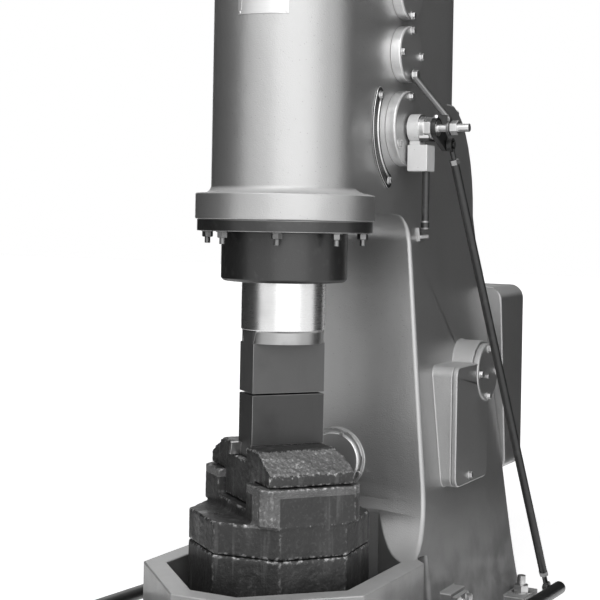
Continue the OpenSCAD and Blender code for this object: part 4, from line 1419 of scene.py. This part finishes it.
@dataclass
class Nameplate:
    """Bare plate on the working cylinder, with a sunk middle and four rivets.

    Attributes:
        margin: Width of the plain margin, in metres.
        depth: Depth of the sunk middle.
        rivet: Radius and height of a rivet's head.
        seat: How deep a rivet's head sits in the plate.
    """

    margin: float = 0.011
    depth: float = 0.0012
    rivet: tuple[float, float] = (0.0042, 0.0024)
    seat: float = 0.0004

    def build(self) -> None:
        """Sink the plate's middle and set its rivets."""
        plate = merged_copy("nameplate_piece", "nameplate")
        points = [v.co.copy() for v in plate.data.vertices]
        radius = max(co.xy.length for co in points)
        turns = [math.atan2(co.y, co.x) for co in points]
        low, high = (corner.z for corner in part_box("nameplate"))
        heights = within(low, high, self.margin)
        edge = self.margin / radius
        sides = within(min(turns), max(turns), edge)
        for turn in sides:
            self.cut(plate, Vector(), Vector((-math.sin(turn), math.cos(turn), 0)))
        for height in heights:
            self.cut(plate, height * UP, UP)
        with editing(plate, lambda face: self.in_middle(face, sides, heights)):
            bpy.ops.mesh.extrude_region_move()
            sunk = 1 - self.depth / radius
            bpy.ops.transform.resize(value=(sunk, sunk, 1), center_override=(0, 0, 0))
        finish_piece(plate, PLATE, Body.FRAME, ["nameplate"])
        spots = []
        for turn in within(min(turns), max(turns), edge / 2):
            out = Vector((math.cos(turn), math.sin(turn), 0))
            foot = (radius - self.seat) * out
            spots += [(foot + z * UP, out) for z in within(low, high, self.margin / 2)]
        rivet_r, rivet_h = self.rivet
        head = capped_disc(16, rivet_r, 0.0, rivet_h, 0.8 * rivet_h, 3)
        finish_piece(copies_at("nameplate_rivets", head, spots), BOLT_STEEL, Body.FRAME)

    @staticmethod
    def cut(plate: Object, point: Vector, normal: Vector) -> None:
        """Cut new edges into the plate along a plane."""
        with editing(plate):
            bpy.ops.mesh.bisect(plane_co=point, plane_no=normal)

    @staticmethod
    def in_middle(face: Face, sides: Sequence[float], heights: Sequence[float]) -> bool:
        """Whether a face is on the plate's outer side and inside its margin."""
        spot = face.center
        outer = face.normal.dot(Vector((spot.x, spot.y, 0)).normalized()) > FACING
        across = sides[0] < math.atan2(spot.y, spot.x) < sides[1]
        return outer and across and heights[0] < spot.z < heights[1]


@dataclass
class Studio:
    """Floor, light and camera.

    Attributes:
        azimuth: Camera's turn from the machine's front to its right, in degrees.
        distance: Camera's distance from the ram axis, in metres.
        height: Camera's height.
        lens: Focal length for a 36 mm sensor.
        shift: Sensor shift, as shares of the picture's width.
        roll: Camera's roll, in degrees.
        ambient: Strength of the soft light from all round.
        floor_size: Width of the floor.
        floor_tone: Grey of the floor.
        floor_glow: White that the floor adds to what is seen of it.
        floor_fade: Distances between which that white grows to full.
        cloth_tone: Grey of the cloths.
        middle: What the light panels look at.
        panels: Name, azimuth and elevation, distance, size and watts of each light panel.
        cloths: Name, azimuth, distance and size of each dark cloth.
        cloth_back: How far back of the ram axis the cloths are centred.
    """

    azimuth: float = 28.0
    distance: float = 3.99
    height: float = 1.328
    lens: float = 84.0
    shift: tuple[float, float] = (0.025, -0.137)
    roll: float = 1.05
    ambient: float = 0.24
    floor_size: float = 60.0
    floor_tone: float = 0.9
    floor_glow: float = 0.74
    floor_fade: tuple[float, float] = (2, 9)
    cloth_tone: float = 0.05
    middle: Triple = (0, 0.35, 1.2)
    panels: tuple[tuple, ...] = (
        ("key_panel", (38, 17), 4.6, (5.4, 4.0), 98),
        ("fill_panel", (-10, 24), 5.0, (2.6, 3.0), 8),
        ("top_panel", (8, 48), 4.6, (3.2, 2.0), 62),
        ("back_panel", (205, 50), 5.5, (4.0, 3.0), 30),
    )
    cloths: tuple[tuple, ...] = (
        ("left_cloth", -84, 2.1, (4.4, 4.2)),
        ("right_cloth", 150, 2.0, (3.4, 4.2)),
    )
    cloth_back: float = 0.3

    def build(self) -> None:
        """Set up the studio."""
        self.floor()
        self.world()
        for panel in self.panels:
            self.panel(*panel)
        for cloth in self.cloths:
            self.cloth(*cloth)
        self.camera()
        bpy.context.scene.view_settings.view_transform = "Standard"

    @staticmethod
    def direction(azimuth: float, elevation: float) -> Vector:
        """Direction from the machine to a place round it."""
        a, e = math.radians(azimuth), math.radians(elevation)
        return Vector((math.sin(a) * math.cos(e), -math.cos(a) * math.cos(e), math.sin(e)))

    @staticmethod
    def seen(bench: Bench) -> Wire:
        """1 for rays from the camera and in reflections, 0 for the light itself."""
        rays = ("Is Camera Ray", "Is Glossy Ray", "Is Transmission Ray")
        first, second, third = (bench.node("ShaderNodeLightPath", out=ray) for ray in rays)
        return first.at_least(second).at_least(third)

    @staticmethod
    def sheet(name: str, size: float, height: float) -> Object:
        """Add a level square sheet."""
        deselect_all()
        bpy.ops.mesh.primitive_plane_add(size=size, location=(0, 0, height))
        bpy.context.object.name = name
        return bpy.context.object

    def floor(self) -> None:
        """Pale floor that keeps the machine's shadow."""
        floor = self.sheet("floor", self.floor_size, -SKIN)
        bench = Bench("pale_floor")
        settings = {"operation": "LENGTH"}
        away = bench.node("ShaderNodeVectorMath", settings, {0: bench.place}, "Value")
        far = bench.ease(away, *self.floor_fade)
        glow = self.seen(bench) * (self.floor_glow + (1 - self.floor_glow) * far)
        bench.shade(
            Base_Color=(*[self.floor_tone] * 3, 1), Roughness=0.7, Specular_IOR_Level=0.2,
            Emission_Color=glow, Emission_Strength=1.0,
        )
        floor.data.materials.append(bench.material)

    def world(self) -> None:
        """White surroundings that are seen, and a dimmer soft light from them."""
        world = bpy.data.worlds.new("studio")
        bpy.context.scene.world = world
        world.use_nodes = True
        bench = Bench.of_tree(world.node_tree)
        shade = bench.mix(self.seen(bench), self.ambient, 1.0)
        light = bench.node("ShaderNodeBackground", None, {"Color": shade})
        bench.node("ShaderNodeOutputWorld", None, {"Surface": light}, None)

    def cloth(self, name: str, azimuth: float, reach: float, size: tuple[float, float]) -> None:
        """Hang a dark cloth beside the machine, for dark edges on bright parts.

        Args:
            name: Name of the cloth.
            azimuth: Its direction from the machine, in degrees.
            reach: Distance from the machine, in metres.
            size: Width and height of the cloth.
        """
        out = self.direction(azimuth, 0)
        cloth = self.sheet(name, 1, 0)
        aim = Matrix((UP.cross(out), UP, out)).transposed().to_4x4()
        place = Matrix.Translation(reach * out + Vector((0, self.cloth_back, size[1] / 2)))
        cloth.data.transform(place @ aim @ Matrix.Diagonal((*size, 1, 1)))
        bench = Bench(name)
        bench.shade(Base_Color=(*[self.cloth_tone] * 3, 1), Roughness=0.9)
        cloth.data.materials.append(bench.material)
        cloth.visible_camera = False
        cloth.visible_shadow = False

    def panel(
        self,
        name: str,
        turn: tuple[float, float],
        reach: float,
        size: tuple[float, float],
        power: float,
    ) -> None:
        """Hang a soft rectangular light that looks at the machine's middle.

        Args:
            name: Name of the light.
            turn: Azimuth and elevation, in degrees.
            reach: Distance from the machine, in metres.
            size: Width and height of the light.
            power: Its power, in watts.
        """
        data = bpy.data.lights.new(name, "AREA")
        data.shape = "RECTANGLE"
        data.size, data.size_y = size
        data.energy = power
        lamp = linked(name, data)
        out = self.direction(*turn)
        lamp.location = Vector(self.middle) + reach * out
        lamp.rotation_euler = (-out).to_track_quat("-Z", "Y").to_euler()

    def camera(self) -> None:
        """Level camera at the photograph's angle."""
        data = bpy.data.cameras.new("photo_camera")
        data.lens = self.lens
        data.shift_x, data.shift_y = self.shift
        camera = linked("photo_camera", data)
        out = self.direction(self.azimuth, 0)
        camera.location = self.distance * out + self.height * UP
        look = (-out).to_track_quat("-Z", "Y").to_matrix().to_4x4()
        turn = look @ Matrix.Rotation(math.radians(self.roll), 4, "Z")
        camera.rotation_euler = turn.to_euler()
        bpy.context.scene.camera = camera


def main() -> None:
    """Build every sub-assembly and the studio."""
    logging.basicConfig(level=logging.INFO, format="%(name)s %(message)s")
    assemblies = (
        FrameCasting(), Covers(), Gland(), RamAndDies(), Anvil(), ValveGear(), TreadleGear(),
        Drive(), Nameplate(), Studio(),
    )
    for assembly in assemblies:
        LOG.info("building %s", type(assembly).__name__)
        assembly.build()


if __name__ == "__main__":
    main()
